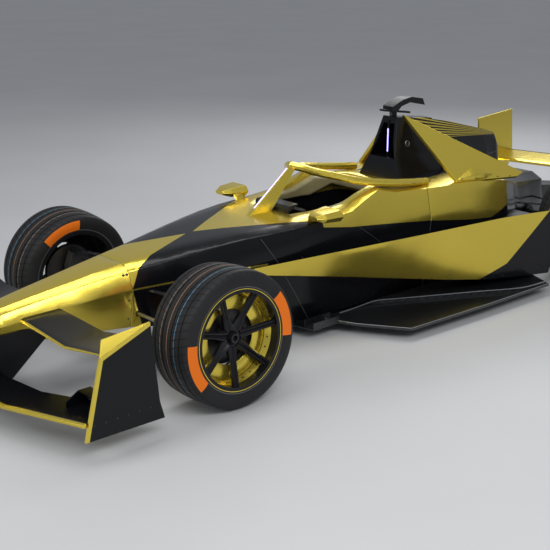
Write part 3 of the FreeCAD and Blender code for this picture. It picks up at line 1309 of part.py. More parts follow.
def mirror(side):
    """Door mirror: a faired housing open at the back, on an upright blade from the cockpit's shoulder."""
    x = behind_axle(MIRROR_X)
    y = MIRROR_Y
    z = MIRROR_HEIGHT
    length = MIRROR_LENGTH
    half_w = MIRROR_WIDTH / 2
    half_h = MIRROR_SIZE / 2
    front = x + length / 2
    back = x - length / 2
    housing = ruled_loft([closed_wire(mirror_section(front, y, z, half_w * 0.45, half_h * 0.35)),
                          closed_wire(mirror_section(front - length * 0.3, y, z, half_w * 0.85, half_h * 0.8)),
                          closed_wire(mirror_section(back, y, z, half_w, half_h))])
    recess = tapered(mirror_section(back - OVERRUN, y, z, half_w * 0.86, half_h * 0.8),
                     mirror_section(back + length * 0.15, y, z, half_w * 0.86, half_h * 0.8))
    inner = y - half_w
    foot_z = z - MIRROR_SIZE * 2
    blade = tapered(stalk_section(x - length * 0.05, inner + half_w * 0.16, z - half_h * 0.2, length * 0.5),
                    stalk_section(x - length * 0.18, inner - half_w * 0.55, foot_z, length * 0.66))
    return on_side(housing.cut(recess).fuse(blade).cut(grown_body()), side)


def tyre(axle_x, radius, width, camber, side):
    return placed(tyre_body(radius, width), axle_x, radius, width, camber, side)


def wheel_rim(axle_x, radius, width, camber, side, inner_y):
    return placed(rim(width, inner_y), axle_x, radius, width, camber, side)


def build():
    """Every node of the car by name."""
    nodes = {
        "nose_cone": nose_cone(),
        "monocoque": monocoque(),
        "seat": seat(),
        "headrest": headrest(),
        "steering_wheel": steering_wheel(),
        "steering_column": dash_and_column(),
        "halo": halo(),
        "airbox": airbox(),
        "camera_pod": camera_pod(),
        "engine_cover": engine_cover(),
        "power_unit": power_unit(),
        "floor": floor(),
        "plank": plank(),
        "front_wing_lower": lower_wing(),
        "steering_rack": steering_rack(),
        "crash_structure": crash_structure(),
        "rain_light": rain_light(),
        "rear_wing": rear_wing(),
        "fins": both_sides(fin),
        "mirrors": both_sides(mirror),
        "front_suspension": both_sides(front_suspension),
        "rear_suspension": both_sides(rear_suspension),
        "rear_uprights": both_sides(rear_upright),
    }
    for name, side in (("left", 1), ("right", -1)):
        nodes["sidepod_" + name] = sidepod(side)
        nodes["front_wing_upper_" + name] = upper_wing(side)
        nodes["front_endplate_" + name] = front_endplate(side)
        nodes["rear_endplate_" + name] = rear_endplate(side)
        nodes["front_upright_" + name] = front_upright(side)
        nodes["driveshaft_" + name] = driveshaft(side)
        front = (FRONT_AXLE_X, FRONT_TYRE_RADIUS, FRONT_TYRE_WIDTH, FRONT_CAMBER_DEG, side)
        rear = (REAR_AXLE_X, REAR_TYRE_RADIUS, REAR_TYRE_WIDTH, REAR_CAMBER_DEG, side)
        nodes["tyre_front_" + name] = tyre(*front)
        nodes["tyre_rear_" + name] = tyre(*rear)
        nodes["wheel_front_" + name] = wheel_rim(*front, stub_end())
        nodes["wheel_rear_" + name] = wheel_rim(*rear, stub_end())
        nodes["brake_disc_" + name] = placed(brake_disc(), *front)
    return nodes


def main():
    os.makedirs("parts", exist_ok=True)
    for name, shape in build().items():
        shape.exportStep("parts/" + name + ".step")
        print(name, "valid" if shape.isValid() else "INVALID", len(shape.Solids), round(shape.Volume))


main()
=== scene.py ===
"""Looks of the open wheel racing car: its paint, carbon, tyres, wheels, cockpit trim and small fittings."""
import bmesh
import bpy
import json
import math
import numpy
from mathutils import Matrix, Vector
from mathutils.bvhtree import BVHTree


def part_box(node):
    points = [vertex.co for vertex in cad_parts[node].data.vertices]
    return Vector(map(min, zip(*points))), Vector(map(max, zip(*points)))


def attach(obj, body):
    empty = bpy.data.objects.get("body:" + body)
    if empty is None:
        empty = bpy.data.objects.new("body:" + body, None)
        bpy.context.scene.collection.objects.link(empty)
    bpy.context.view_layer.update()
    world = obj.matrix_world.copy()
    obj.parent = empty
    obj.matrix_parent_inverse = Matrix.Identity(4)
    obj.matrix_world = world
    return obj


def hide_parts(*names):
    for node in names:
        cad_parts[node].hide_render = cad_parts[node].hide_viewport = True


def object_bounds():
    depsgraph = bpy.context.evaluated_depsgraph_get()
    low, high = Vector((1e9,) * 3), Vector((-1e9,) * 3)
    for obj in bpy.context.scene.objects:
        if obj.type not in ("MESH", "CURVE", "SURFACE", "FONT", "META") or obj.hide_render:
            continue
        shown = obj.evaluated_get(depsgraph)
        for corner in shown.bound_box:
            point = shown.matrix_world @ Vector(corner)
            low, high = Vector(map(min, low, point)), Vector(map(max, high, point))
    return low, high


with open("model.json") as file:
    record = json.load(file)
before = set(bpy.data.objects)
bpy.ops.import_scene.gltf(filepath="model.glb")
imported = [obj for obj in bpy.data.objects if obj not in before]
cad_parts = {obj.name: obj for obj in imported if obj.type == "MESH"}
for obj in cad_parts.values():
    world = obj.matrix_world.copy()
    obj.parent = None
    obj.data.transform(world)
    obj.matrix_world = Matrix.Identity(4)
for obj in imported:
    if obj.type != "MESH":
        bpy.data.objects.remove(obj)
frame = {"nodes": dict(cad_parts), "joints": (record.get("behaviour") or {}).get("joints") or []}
cad_box = [list(corner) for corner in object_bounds()]
joints = {joint["name"]: joint for joint in frame["joints"]}

# Places on the car that the livery and the fittings share, in metres
FRONT_AXLE_X = joints["wheel_spin_front_left"]["pos_m"][0]
NOSE_JOINT_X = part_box("nose_cone")[0][0]
COVER_JOINT_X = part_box("monocoque")[0][0]
SPINE_FOOT_Z = 0.728
SIDES = (("left", 1), ("right", -1))

# Edges of the livery: an arrow, wedge, line or edge is the slope and the limit of one coordinate
# against another
NOSE_ARROW = (-2.505, 1.036)
COCKPIT_WEDGE = (1.741, 0.99)
WEDGE_FOOT_X = 0.55
FLANK_FRONT_LINE = (-0.157, 0.542)
FLANK_REAR_LINE = (-0.104, 0.551)
FLANK_END_LINE = (2.751, 0.2955)
COVER_TOP_X = -0.46
COVER_TOP_Z = 0.66
COVER_TOP_HALF = 0.235
SPINE_START_X = -0.62
COCKPIT_X = (-0.345, 0.4455)
COCKPIT_HALF = 0.2468
COCKPIT_RIM_Z = 0.607
TAIL_START_X = -1.105
UNDERSIDE_LEAN = -0.9
CREASE_LINE = (0.0154, 0.4758)
CREASE_X = (0.75, 1.52)
CREASE_HALF = 0.0045
POD_FLANK_LEAN = 0.30
POD_TAIL_LINE = (1.0, -0.606)
POD_FOOT_LINE = (0.346, -0.061)
UPPER_PLANE_DIP_Y = 0.45
UPPER_PLANE_EDGE = (-0.080, 2.0395)
LOWER_PLANE_MIDDLE_EDGE = (0.1043, 2.341)
LOWER_PLANE_TIP_EDGE = (0.2927, 2.411)
ENDPLATE_FRONT_EDGE = (0.249, 2.193)
ENDPLATE_TOP_EDGE = (0.394, 1.262)
WINGLET_INNER_Y = 0.8185
WINGLET_FOOT_Z = 0.40
REAR_WING_TAIL_X = -2.462

# Stripes of the spine: ridge and reach are lines along X, pitch and half width are shares of the reach
RIDGE_LINE = (0.249, 1.2336)
REACH_LINE = (0.155, 0.252)
STRIPE_PITCH = 1 / 7
STRIPE_HALF = 0.034
STRIPES_BEHIND_FIN = (0.22, -0.61)
STRIPES_END_X = -1.52
RIDGE_TOP_LEAN = 0.75

# Panel joints of the body
NOSE_JOINT_HALF = 0.0016
COVER_JOINT_HALF = 0.0018
THIN_JOINT_HALF = 0.0015
TUB_SIDE_Y = 0.25
HATCH_LINE = (-0.64, 0.395)
HATCH_TOP_Z = 0.60
COLLAR_LINE = (-1.40, -0.670)
COLLAR_TOP_Z = 0.56
SPINE_JOINT_X = -0.84
SPINE_JOINT_HALF_WIDTH = 0.20

# Wheels, as the rims and tyres are sized
BEAD_RADIUS = 0.229
FLANGE_RADIUS = 0.2433
RIM_INSET = 0.014
RIM_FLANGE = 0.007
BARREL_RADIUS = 0.204
BARREL_MOUTH_RADIUS = 0.222
WELL_SHARE = 0.42
LEDGE_SHARE = 0.66
HUB_FACE_INSET = 0.062
NUT_DEPTH = 0.026
TYRES = {"front": (0.330, 0.265), "rear": (0.345, 0.305)}
BAR_RADII = (0.251, 0.305)
OUTER_BAR_TURN = 0.039
INNER_BAR_TURN = 0.306
BAR_HALF_TURN = 0.0625
BAR_COLOUR = (0.95, 0.20, 0.006)
RIM_LINE_RADIUS = 0.2495
RIM_LINE_HALF = 0.0022
PIN_LINES = ((0.37, (0.50, 0.36, 0.28)), (0.505, (0.62, 0.30, 0.12)), (0.64, (0.16, 0.42, 0.62)))
PIN_LINE_HALF = 0.0028
SIPE_PITCH = 1 / 56
SIPE_HALF = 0.0010
SIPE_LEAN = 0.06
PLAIN_MIDDLE_HALF = 0.055
WALL_RIB_PITCH = 0.0124
WALL_RIB_HALF = 0.0022
SHOULDER_DROP = 0.020
TREAD_SHARE = 0.86
TREAD_CROWN = 1.1
GROOVES = (-0.78, -0.28, 0.28, 0.78)
GROOVE_DEPTH = 0.005

GOLD = (0.87, 0.69, 0.105)
DEEP_GOLD = (0.70, 0.53, 0.055)
BLACK = (0.0035, 0.0038, 0.005)


# Node helpers for the finishes and the Geometry Nodes trees

def fed(tree, node, inputs):
    """Links a node's inputs to sockets, or sets them to plain values."""
    for label, value in inputs.items():
        if isinstance(value, bpy.types.NodeSocket):
            tree.links.new(value, node.inputs[label])
        else:
            node.inputs[label].default_value = value
    return node


def added(tree, kind, inputs):
    return fed(tree, tree.nodes.new(kind), inputs)


def shader_of(name, colour, roughness, metallic=0.0, coat=0.0, shine=0.32):
    """New finish with its shader set to one colour."""
    look = bpy.data.materials.new(name)
    look.use_nodes = True
    tree = look.node_tree
    shader = fed(tree, tree.nodes["Principled BSDF"], {
        "Base Color": (*colour, 1), "Roughness": roughness, "Metallic": metallic, "Coat Weight": coat,
        "Coat Roughness": 0.04, "Specular IOR Level": shine})
    return look, tree, shader


def calc(tree, operation, *values):
    """Output of one sum on sockets or plain numbers."""
    node = tree.nodes.new("ShaderNodeMath")
    node.operation = operation
    return fed(tree, node, dict(enumerate(values))).outputs[0]


def place_of(tree):
    """X, Y and Z of the shaded point on the car."""
    coordinates = tree.nodes.new("ShaderNodeTexCoord")
    return tuple(added(tree, "ShaderNodeSeparateXYZ", {0: coordinates.outputs["Object"]}).outputs)


def along(tree, base, other, slope):
    """Base plus slope times the other."""
    return calc(tree, "MULTIPLY_ADD", other, slope, base)


def over(tree, base, other, line):
    """1 where the base coordinate is over a line of (slope, limit) against the other."""
    slope, limit = line
    return beyond(tree, along(tree, base, other, slope), limit)


def under(tree, value, limit):
    return calc(tree, "LESS_THAN", value, limit)


def beyond(tree, value, limit):
    return calc(tree, "GREATER_THAN", value, limit)


def near(tree, value, middle, half):
    """1 where the value is within half of the middle."""
    return under(tree, calc(tree, "ABSOLUTE", calc(tree, "SUBTRACT", value, middle)), half)


def between(tree, value, ends):
    return all_of(tree, beyond(tree, value, ends[0]), under(tree, value, ends[1]))


def all_of(tree, *masks):
    result = masks[0]
    for mask in masks[1:]:
        result = calc(tree, "MINIMUM", result, mask)
    return result


def any_of(tree, *masks):
    result = masks[0]
    for mask in masks[1:]:
        result = calc(tree, "MAXIMUM", result, mask)
    return result


def unless(tree, mask):
    return calc(tree, "SUBTRACT", 1.0, mask)


def mixed_colour(tree, share, first, second):
    """Blend of two colours, each a socket or plain numbers."""
    node = tree.nodes.new("ShaderNodeMix")
    node.data_type = "RGBA"
    colours = [(*value, 1) if isinstance(value, tuple) else value for value in (first, second)]
    return fed(tree, node, {"Factor": share, 6: colours[0], 7: colours[1]}).outputs[2]


def upward_lean(tree):
    """1 on a level top, 0 on an upright wall and -1 on a level underside."""
    geometry = tree.nodes.new("ShaderNodeNewGeometry")
    return added(tree, "ShaderNodeSeparateXYZ", {0: geometry.outputs["True Normal"]}).outputs[2]


def noise_of(tree, scale, detail=2.0):
    place = tree.nodes.new("ShaderNodeTexCoord").outputs["Object"]
    noise = added(tree, "ShaderNodeTexNoise", {"Scale": scale, "Detail": detail, "Vector": place})
    return noise.outputs["Fac"]


def bumped(tree, shader, height, strength, distance):
    bump = added(tree, "ShaderNodeBump", {"Strength": strength, "Distance": distance, "Height": height})
    fed(tree, shader, {"Normal": bump.outputs["Normal"]})


def worked(tree, shader, mask, colours=None, roughness=None, relief=None):
    """Lets a mask blend two colours, set the roughness (spread, base) and stand out (strength, depth)."""
    if colours:
        fed(tree, shader, {"Base Color": mixed_colour(tree, mask, *colours)})
    if roughness:
        fed(tree, shader, {"Roughness": calc(tree, "MULTIPLY_ADD", mask, *roughness)})
    if relief:
        bumped(tree, shader, mask, *relief)


def flaked_gold(tree):
    """Colour of the gold paint: two close depths of gold in wide soft clouds, with fine metal flake."""
    clouds = noise_of(tree, 1.6, 1.0)
    flake = noise_of(tree, 1400.0, 1.0)
    share = calc(tree, "MULTIPLY_ADD", flake, 0.35, calc(tree, "MULTIPLY", clouds, 0.35))
    return mixed_colour(tree, share, GOLD, DEEP_GOLD)


# Livery masks, from X, the distance out from the middle plane, and Z: 1 is gold, 0 is black

def body_livery(tree, x, out, z):
    """Gold arrow on the nose and gold wedge down the cockpit's sides; black flanks, spine and tail."""
    nose = over(tree, x, out, NOSE_ARROW)
    wedge = unless(tree, over(tree, x, out, COCKPIT_WEDGE))
    above = all_of(tree, over(tree, z, x, FLANK_FRONT_LINE), over(tree, z, x, FLANK_REAR_LINE))
    ahead = over(tree, x, z, FLANK_END_LINE)
    sides = all_of(tree, wedge, any_of(tree, beyond(tree, x, WEDGE_FOOT_X), above), ahead)
    cover_top = all_of(tree, under(tree, x, COVER_TOP_X), beyond(tree, z, COVER_TOP_Z),
                       under(tree, out, COVER_TOP_HALF))
    spine = all_of(tree, under(tree, x, SPINE_START_X), beyond(tree, z, SPINE_FOOT_Z))
    cockpit = all_of(tree, under(tree, out, COCKPIT_HALF), between(tree, x, COCKPIT_X),
                     under(tree, z, COCKPIT_RIM_Z))
    plain = any_of(tree, spine, cover_top, cockpit, under(tree, x, TAIL_START_X))
    gold = any_of(tree, nose, all_of(tree, sides, unless(tree, plain)))
    slope, height = CREASE_LINE
    crease = near(tree, along(tree, z, x, slope), height, CREASE_HALF)
    crease = all_of(tree, crease, between(tree, x, CREASE_X))
    seen = beyond(tree, upward_lean(tree), UNDERSIDE_LEAN)
    return all_of(tree, seen, any_of(tree, gold, crease, spine_stripes(tree, x, out, z)))


def spine_stripes(tree, x, out, z):
    """Fine lines along the spine's sides, a hand deep behind the intake and closer towards the tail."""
    ridge = calc(tree, "MULTIPLY_ADD", x, *RIDGE_LINE)
    reach = calc(tree, "MULTIPLY_ADD", x, *REACH_LINE)
    depth = calc(tree, "DIVIDE", calc(tree, "SUBTRACT", ridge, z), reach)
    line = under(tree, calc(tree, "PINGPONG", depth, STRIPE_PITCH / 2), STRIPE_HALF)
    lean, limit = STRIPES_BEHIND_FIN
    behind_fin = under(tree, along(tree, x, depth, lean), limit)
    off_top = under(tree, upward_lean(tree), RIDGE_TOP_LEAN)
    zone = all_of(tree, behind_fin, beyond(tree, x, STRIPES_END_X), under(tree, depth, 1.0), off_top)
    return all_of(tree, line, zone)


def body_seams(tree, x, out, z):
    """Joints of the body's panels: nose cone, tub sides, and the cover behind the cockpit."""
    side = beyond(tree, out, TUB_SIDE_Y)
    nose_joint = near(tree, x, NOSE_JOINT_X, NOSE_JOINT_HALF)
    cover_joint = near(tree, x, COVER_JOINT_X, COVER_JOINT_HALF)
    leaning = []
    for (slope, place), top in ((HATCH_LINE, HATCH_TOP_Z), (COLLAR_LINE, COLLAR_TOP_Z)):
        joint = near(tree, along(tree, x, z, slope), place, THIN_JOINT_HALF)
        leaning.append(all_of(tree, joint, under(tree, z, top), side))
    spine_joint = all_of(tree, near(tree, z, SPINE_FOOT_Z, THIN_JOINT_HALF), under(tree, x, SPINE_JOINT_X),
                         under(tree, out, SPINE_JOINT_HALF_WIDTH))
    return any_of(tree, nose_joint, cover_joint, *leaning, spine_joint)


def sidepod_livery(tree, x, out, z):
    """Gold flank under the long crease, cut off by the black tail and foot."""
    flank = under(tree, upward_lean(tree), POD_FLANK_LEAN)
    return all_of(tree, flank, over(tree, z, x, POD_TAIL_LINE), over(tree, z, x, POD_FOOT_LINE))


def upper_plane_livery(tree, x, out, z):
    """Black plane with a thin gold front edge that follows its dip."""
    dip = calc(tree, "ABSOLUTE", calc(tree, "SUBTRACT", out, UPPER_PLANE_DIP_Y))
    return over(tree, x, dip, UPPER_PLANE_EDGE)


def lower_plane_livery(tree, x, out, z):
    """Black plane with a thin gold front edge."""
    return any_of(tree, over(tree, x, out, LOWER_PLANE_MIDDLE_EDGE), over(tree, x, out, LOWER_PLANE_TIP_EDGE))


def endplate_livery(tree, x, out, z):
    """Black plate with a gold front edge and a gold leaning winglet along its top."""
    winglet = all_of(tree, under(tree, out, WINGLET_INNER_Y), beyond(tree, z, WINGLET_FOOT_Z))
    return any_of(tree, over(tree, x, z, ENDPLATE_FRONT_EDGE), winglet, over(tree, z, x, ENDPLATE_TOP_EDGE))


def rear_wing_livery(tree, x, out, z):
    """Gold plane with a black edge along its tail."""
    return beyond(tree, x, REAR_WING_TAIL_X)


def no_seams(tree, x, out, z):
    """A mask that is 0 all over the car."""
    return beyond(tree, x, cad_box[1][0] * 3)


def two_tone_paint(name, livery, seams=no_seams):
    """Lacquered gold and black paint, split by a livery mask, with the panels' joints."""
    look, tree, shader = shader_of(name, GOLD, 0.28, coat=0.14, shine=0.2)
    x, y, z = place_of(tree)
    out = calc(tree, "ABSOLUTE", y)
    mask = livery(tree, x, out, z)
    joint = seams(tree, x, out, z)
    paint = mixed_colour(tree, mask, BLACK, flaked_gold(tree))
    gap = mixed_colour(tree, mask, (0.070, 0.076, 0.082), (0.050, 0.035, 0.006))
    metal = calc(tree, "MULTIPLY", all_of(tree, mask, unless(tree, joint)), 0.9)
    fed(tree, shader, {"Base Color": mixed_colour(tree, joint, paint, gap), "Metallic": metal})
    worked(tree, shader, noise_of(tree, 9.0, 2.0), roughness=(0.08, 0.20))
    peel = noise_of(tree, 380.0, 1.0)
    relief = calc(tree, "MULTIPLY_ADD", joint, -1.0, calc(tree, "MULTIPLY", peel, 0.015))
    bumped(tree, shader, relief, 0.5, 0.0012)
    return look


def gold_paint(name="gold_lacquer"):
    look, tree, shader = shader_of(name, GOLD, 0.28, metallic=0.9, coat=0.14)
    fed(tree, shader, {"Base Color": flaked_gold(tree)})
    worked(tree, shader, noise_of(tree, 9.0, 2.0), roughness=(0.08, 0.20))
    bumped(tree, shader, noise_of(tree, 380.0, 1.0), 0.02, 0.0012)
    return look


def carbon(name, tow, gloss, coat=0.2, shine=0.25, contrast=1.0):
    """Two-by-two twill of dark tows under resin."""
    look, tree, shader = shader_of(name, (0.012, 0.013, 0.015), gloss, coat=coat, shine=shine)
    x, y, z = place_of(tree)
    rise = calc(tree, "ADD", y, z)
    warp = calc(tree, "FLOOR", calc(tree, "DIVIDE", x, tow))
    weft = calc(tree, "FLOOR", calc(tree, "DIVIDE", rise, tow))
    step = calc(tree, "FLOORED_MODULO", calc(tree, "ADD", warp, weft), 4.0)
    lifted = under(tree, step, 2.0)
    weave = calc(tree, "MULTIPLY", lifted, 0.5 * contrast)
    shade = calc(tree, "MULTIPLY_ADD", noise_of(tree, 30.0), 0.4, weave)
    worked(tree, shader, shade, ((0.004, 0.0045, 0.0055), (0.026, 0.028, 0.032)))
    worked(tree, shader, lifted, None, (0.14 * contrast, gloss), (0.08 * contrast, 0.0004))
    return look


def machined_metal(name, colour, roughness):
    """Turned and milled metal with fine tool marks."""
    look, tree, shader = shader_of(name, colour, roughness, metallic=1.0)
    marks = noise_of(tree, 260.0, 3.0)
    dark = tuple(channel * 0.72 for channel in colour)
    worked(tree, shader, marks, (colour, dark), (0.16, roughness - 0.06), (0.1, 0.0003))
    return look


def satin_black(name="satin_black", gloss=0.3):
    look, tree, shader = shader_of(name, (0.008, 0.008, 0.009), gloss, shine=0.25)
    grain = noise_of(tree, 420.0, 2.0)
    worked(tree, shader, grain, ((0.005, 0.005, 0.006), (0.016, 0.016, 0.018)), (0.2, gloss), (0.12, 0.0003))
    return look


def satin_bead():
    """Painted highlight: pale grey satin metal that stands for the light caught, as a pale line, along the
    dark carbon's ridge and outer edge of the floor.
    """
    look, tree, shader = shader_of("satin_bead", (0.30, 0.32, 0.34), 0.3, metallic=0.6)
    grain = noise_of(tree, 200.0, 2.0)
    worked(tree, shader, grain, ((0.38, 0.40, 0.42), (0.20, 0.215, 0.23)), None, (0.1, 0.0003))
    return look


def glowing_strip(name, colour, strength):
    """Row of small lamps behind a clear strip."""
    look, tree, shader = shader_of(name, (0.8, 0.82, 0.9), 0.2)
    x, y, z = place_of(tree)
    cell = calc(tree, "PINGPONG", calc(tree, "ADD", x, z), 0.006)
    level = calc(tree, "MULTIPLY_ADD", beyond(tree, cell, 0.0012), strength * 0.4, strength * 0.6)
    fed(tree, shader, {"Emission Color": (*colour, 1), "Emission Strength": level})
    return look


def skid_board():
    """Pressed wood laminate with its scuffed layers."""
    look, tree, shader = shader_of("skid_board", (0.16, 0.10, 0.05), 0.7)
    x, y, z = place_of(tree)
    layers = calc(tree, "PINGPONG", z, 0.0015)
    grain = noise_of(tree, 45.0, 4.0)
    share = calc(tree, "MULTIPLY_ADD", grain, 0.7, calc(tree, "MULTIPLY", layers, 120.0))
    worked(tree, shader, share, ((0.20, 0.125, 0.06), (0.07, 0.045, 0.025)))
    bumped(tree, shader, grain, 0.25, 0.0006)
    return look


def tyre_rubber(corner):
    """Worn rubber with coloured lines on the tread and bars on the walls, laid out on the tyre's own map.

    The map runs once round the wheel in U, and in V from the inboard bead over the tread to the
    outboard bead.
    """
    look, tree, shader = shader_of("tyre_rubber_" + corner, (0.02, 0.02, 0.021), 0.6, shine=0.25)
    chart = tree.nodes.new("ShaderNodeUVMap")
    chart.uv_map = "tyre"
    turn, across, _ = added(tree, "ShaderNodeSeparateXYZ", {0: chart.outputs["UV"]}).outputs
    grain = noise_of(tree, 300.0, 3.0)
    cloud = noise_of(tree, 9.0, 3.0)
    dust = calc(tree, "MULTIPLY_ADD", cloud, 0.6, calc(tree, "MULTIPLY", grain, 0.4))
    colour = mixed_colour(tree, dust, (0.0065, 0.0065, 0.007), (0.024, 0.024, 0.025))
    for middle, tint in PIN_LINES:
        line = calc(tree, "MULTIPLY", near(tree, across, middle, PIN_LINE_HALF), 0.8)
        colour = mixed_colour(tree, line, colour, tint)
    low, high = (wall_share(corner, radius) for radius in BAR_RADII)
    rim_line = wall_share(corner, RIM_LINE_RADIUS)
    for ends, line_at, start in (((low, high), rim_line, INNER_BAR_TURN),
                                 ((1 - high, 1 - low), 1 - rim_line, OUTER_BAR_TURN)):
        bar = under(tree, calc(tree, "PINGPONG", calc(tree, "ADD", turn, start), 0.25), BAR_HALF_TURN)
        band = all_of(tree, bar, between(tree, across, ends))
        paint = calc(tree, "MULTIPLY_ADD", grain, -0.25, 1.0)
        colour = mixed_colour(tree, calc(tree, "MULTIPLY", band, paint), colour, BAR_COLOUR)
        arc = all_of(tree, near(tree, across, line_at, RIM_LINE_HALF), unless(tree, bar))
        colour = mixed_colour(tree, calc(tree, "MULTIPLY", arc, 0.35), colour, (0.5, 0.5, 0.5))
    worked(tree, shader, cloud, roughness=(0.25, 0.42))
    shoulder = wall_share(corner, TYRES[corner][0] - SHOULDER_DROP)
    tread = between(tree, across, (shoulder, 1 - shoulder))
    lean = calc(tree, "MULTIPLY_ADD", calc(tree, "PINGPONG", across, 0.5), SIPE_LEAN, turn)
    sipe = under(tree, calc(tree, "PINGPONG", lean, SIPE_PITCH / 2), SIPE_HALF)
    cut = all_of(tree, sipe, tread, unless(tree, near(tree, across, 0.5, PLAIN_MIDDLE_HALF)))
    # Painted shade: the sipes are darkened inside their cuts, besides being pressed in by the bump below.
    worked(tree, shader, cut, (colour, (0.0012, 0.0012, 0.0012)))
    rib = under(tree, calc(tree, "PINGPONG", across, WALL_RIB_PITCH / 2), WALL_RIB_HALF)
    ribs = calc(tree, "MULTIPLY", rib, unless(tree, tread))
    raised = calc(tree, "MULTIPLY_ADD", ribs, 0.22, calc(tree, "MULTIPLY", grain, 0.16))
    height = calc(tree, "MULTIPLY_ADD", cut, -1.0, raised)
    bumped(tree, shader, height, 0.7, 0.002)
    return look


def woven_fabric(name, colour, dark, thread):
    """Plain weave of round threads, by its place on the car."""
    look, tree, shader = shader_of(name, colour, 0.85)
    shader.inputs["Sheen Weight"].default_value = 0.3
    x, y, z = place_of(tree)
    first = calc(tree, "SINE", calc(tree, "MULTIPLY", calc(tree, "ADD", x, z), math.tau / thread))
    second = calc(tree, "SINE", calc(tree, "MULTIPLY", calc(tree, "ADD", y, z), math.tau / thread))
    weave = calc(tree, "MULTIPLY_ADD", calc(tree, "MULTIPLY", first, second), 0.5, 0.5)
    wear = calc(tree, "MULTIPLY_ADD", noise_of(tree, 12.0, 3.0), 0.5, calc(tree, "MULTIPLY", weave, 0.5))
    worked(tree, shader, wear, (dark, colour))
    bumped(tree, shader, weave, 0.5, 0.0005)
    return look


def grained_leather(name, colour, dark):
    """Soft coated hide with fine creases."""
    look, tree, shader = shader_of(name, colour, 0.45)
    shader.inputs["Sheen Weight"].default_value = 0.15
    place = tree.nodes.new("ShaderNodeTexCoord").outputs["Object"]
    cells = added(tree, "ShaderNodeTexVoronoi", {"Scale": 320.0, "Vector": place})
    wear = noise_of(tree, 14.0, 4.0)
    worked(tree, shader, wear, (colour, dark), (0.2, 0.35))
    bumped(tree, shader, cells.outputs["Distance"], 0.3, 0.0006)
    return look


def mirror_glass():
    look, tree, shader = shader_of("mirror_glass", (0.75, 0.78, 0.82), 0.05, metallic=1.0)
    worked(tree, shader, noise_of(tree, 25.0, 3.0), roughness=(0.08, 0.01))
    return look


def dark_glass():
    """Nearly black polished glass of the cameras and the display's cover."""
    look, tree, shader = shader_of("dark_glass", (0.006, 0.007, 0.012), 0.05, coat=1.0)
    smear = noise_of(tree, 60.0, 2.0)
    worked(tree, shader, smear, ((0.004, 0.005, 0.009), (0.016, 0.018, 0.03)), (0.06, 0.03))
    return look


def display_face():
    """Lit panel of plain bars on the steering wheel."""
    look, tree, shader = shader_of("display_face", (0.01, 0.012, 0.02), 0.15, coat=1.0)
    x, y, z = place_of(tree)
    rows = beyond(tree, calc(tree, "PINGPONG", z, 0.0065), 0.0030)
    columns = beyond(tree, calc(tree, "PINGPONG", y, 0.0150), 0.0035)
    cell = calc(tree, "MULTIPLY", rows, columns)
    worked(tree, shader, cell, ((0.008, 0.010, 0.016), (0.03, 0.16, 0.20)))
    fed(tree, shader, {"Emission Color": (0.10, 0.55, 0.75, 1),
                       "Emission Strength": calc(tree, "MULTIPLY", cell, 0.35)})
    return look


def moulded_button(name, colour):
    look, tree, shader = shader_of(name, colour, 0.4)
    grain = noise_of(tree, 500.0, 2.0)
    dark = tuple(channel * 0.6 for channel in colour)
    worked(tree, shader, grain, (colour, dark), None, (0.1, 0.0002))
    return look


def lamp_lens():
    """Red moulded lens over rows of small lamps."""
    look, tree, shader = shader_of("tail_lamp_lens", (0.5, 0.01, 0.01), 0.2, coat=1.0)
    x, y, z = place_of(tree)
    rows = calc(tree, "PINGPONG", z, 0.008)
    columns = calc(tree, "PINGPONG", y, 0.008)
    cell = calc(tree, "MULTIPLY", beyond(tree, rows, 0.002), beyond(tree, columns, 0.002))
    worked(tree, shader, cell, ((0.12, 0.004, 0.004), (0.62, 0.02, 0.015)), None, (0.3, 0.001))
    return look


# Tyre outline, which the rubber's map and the tyre's mesh share

def tyre_profile(corner):
    """Outer (y, radius) line of the tyre from the inboard bead round the tread to the outboard bead."""
    radius, width = TYRES[corner]
    half = width / 2
    bulge_radius = BEAD_RADIUS + (radius - BEAD_RADIUS) * 0.5
    tread_half = half * TREAD_SHARE
    outer = []
    bead_y = half - RIM_INSET + RIM_FLANGE
    for i in range(7):
        share = i / 6
        swing = math.sin(math.pi / 2 * share)
        y = bead_y + (half - bead_y) * swing
        outer.append((-y, FLANGE_RADIUS + (bulge_radius - FLANGE_RADIUS) * share))
    shoulder_r = radius - tread_half ** 2 / (2 * TREAD_CROWN)
    for i in range(1, 8):
        angle = math.pi / 2 * i / 8
        y = tread_half + (half - tread_half) * math.cos(angle)
        outer.append((-y, bulge_radius + (shoulder_r - bulge_radius) * math.sin(angle)))
    wall_points = len(outer)
    tread = [(-1 + 2 * i / 12, 0) for i in range(13)]
    tread = [point for point in tread if not any(abs(point[0] - middle) < 0.044 for middle in GROOVES)]
    for middle in GROOVES:
        for offset, depth in ((-0.045, 0), (-0.032, 1), (0.032, 1), (0.045, 0)):
            tread.append((middle + offset, depth))
    for share, depth in sorted(tread):
        y = share * tread_half
        outer.append((y, radius - y * y / (2 * TREAD_CROWN) - depth * GROOVE_DEPTH))
    return outer + [(-y, r) for y, r in reversed(outer[:wall_points])]


def shares_along(points):
    """Share of the line's length at each of its points."""
    lengths = [0.0]
    for (y0, r0), (y1, r1) in zip(points, points[1:]):
        lengths.append(lengths[-1] + math.hypot(y1 - y0, r1 - r0))
    return [length / lengths[-1] for length in lengths]


def wall_share(corner, radius):
    """Share of the tyre's outer line at which its inboard wall reaches a radius."""
    points = tyre_profile(corner)
    shares = shares_along(points)
    for (_, r0), (_, r1), s0, s1 in zip(points, points[1:], shares, shares[1:]):
        if r0 <= radius <= r1:
            return s0 + (s1 - s0) * (radius - r0) / (r1 - r0)
    return shares[0]


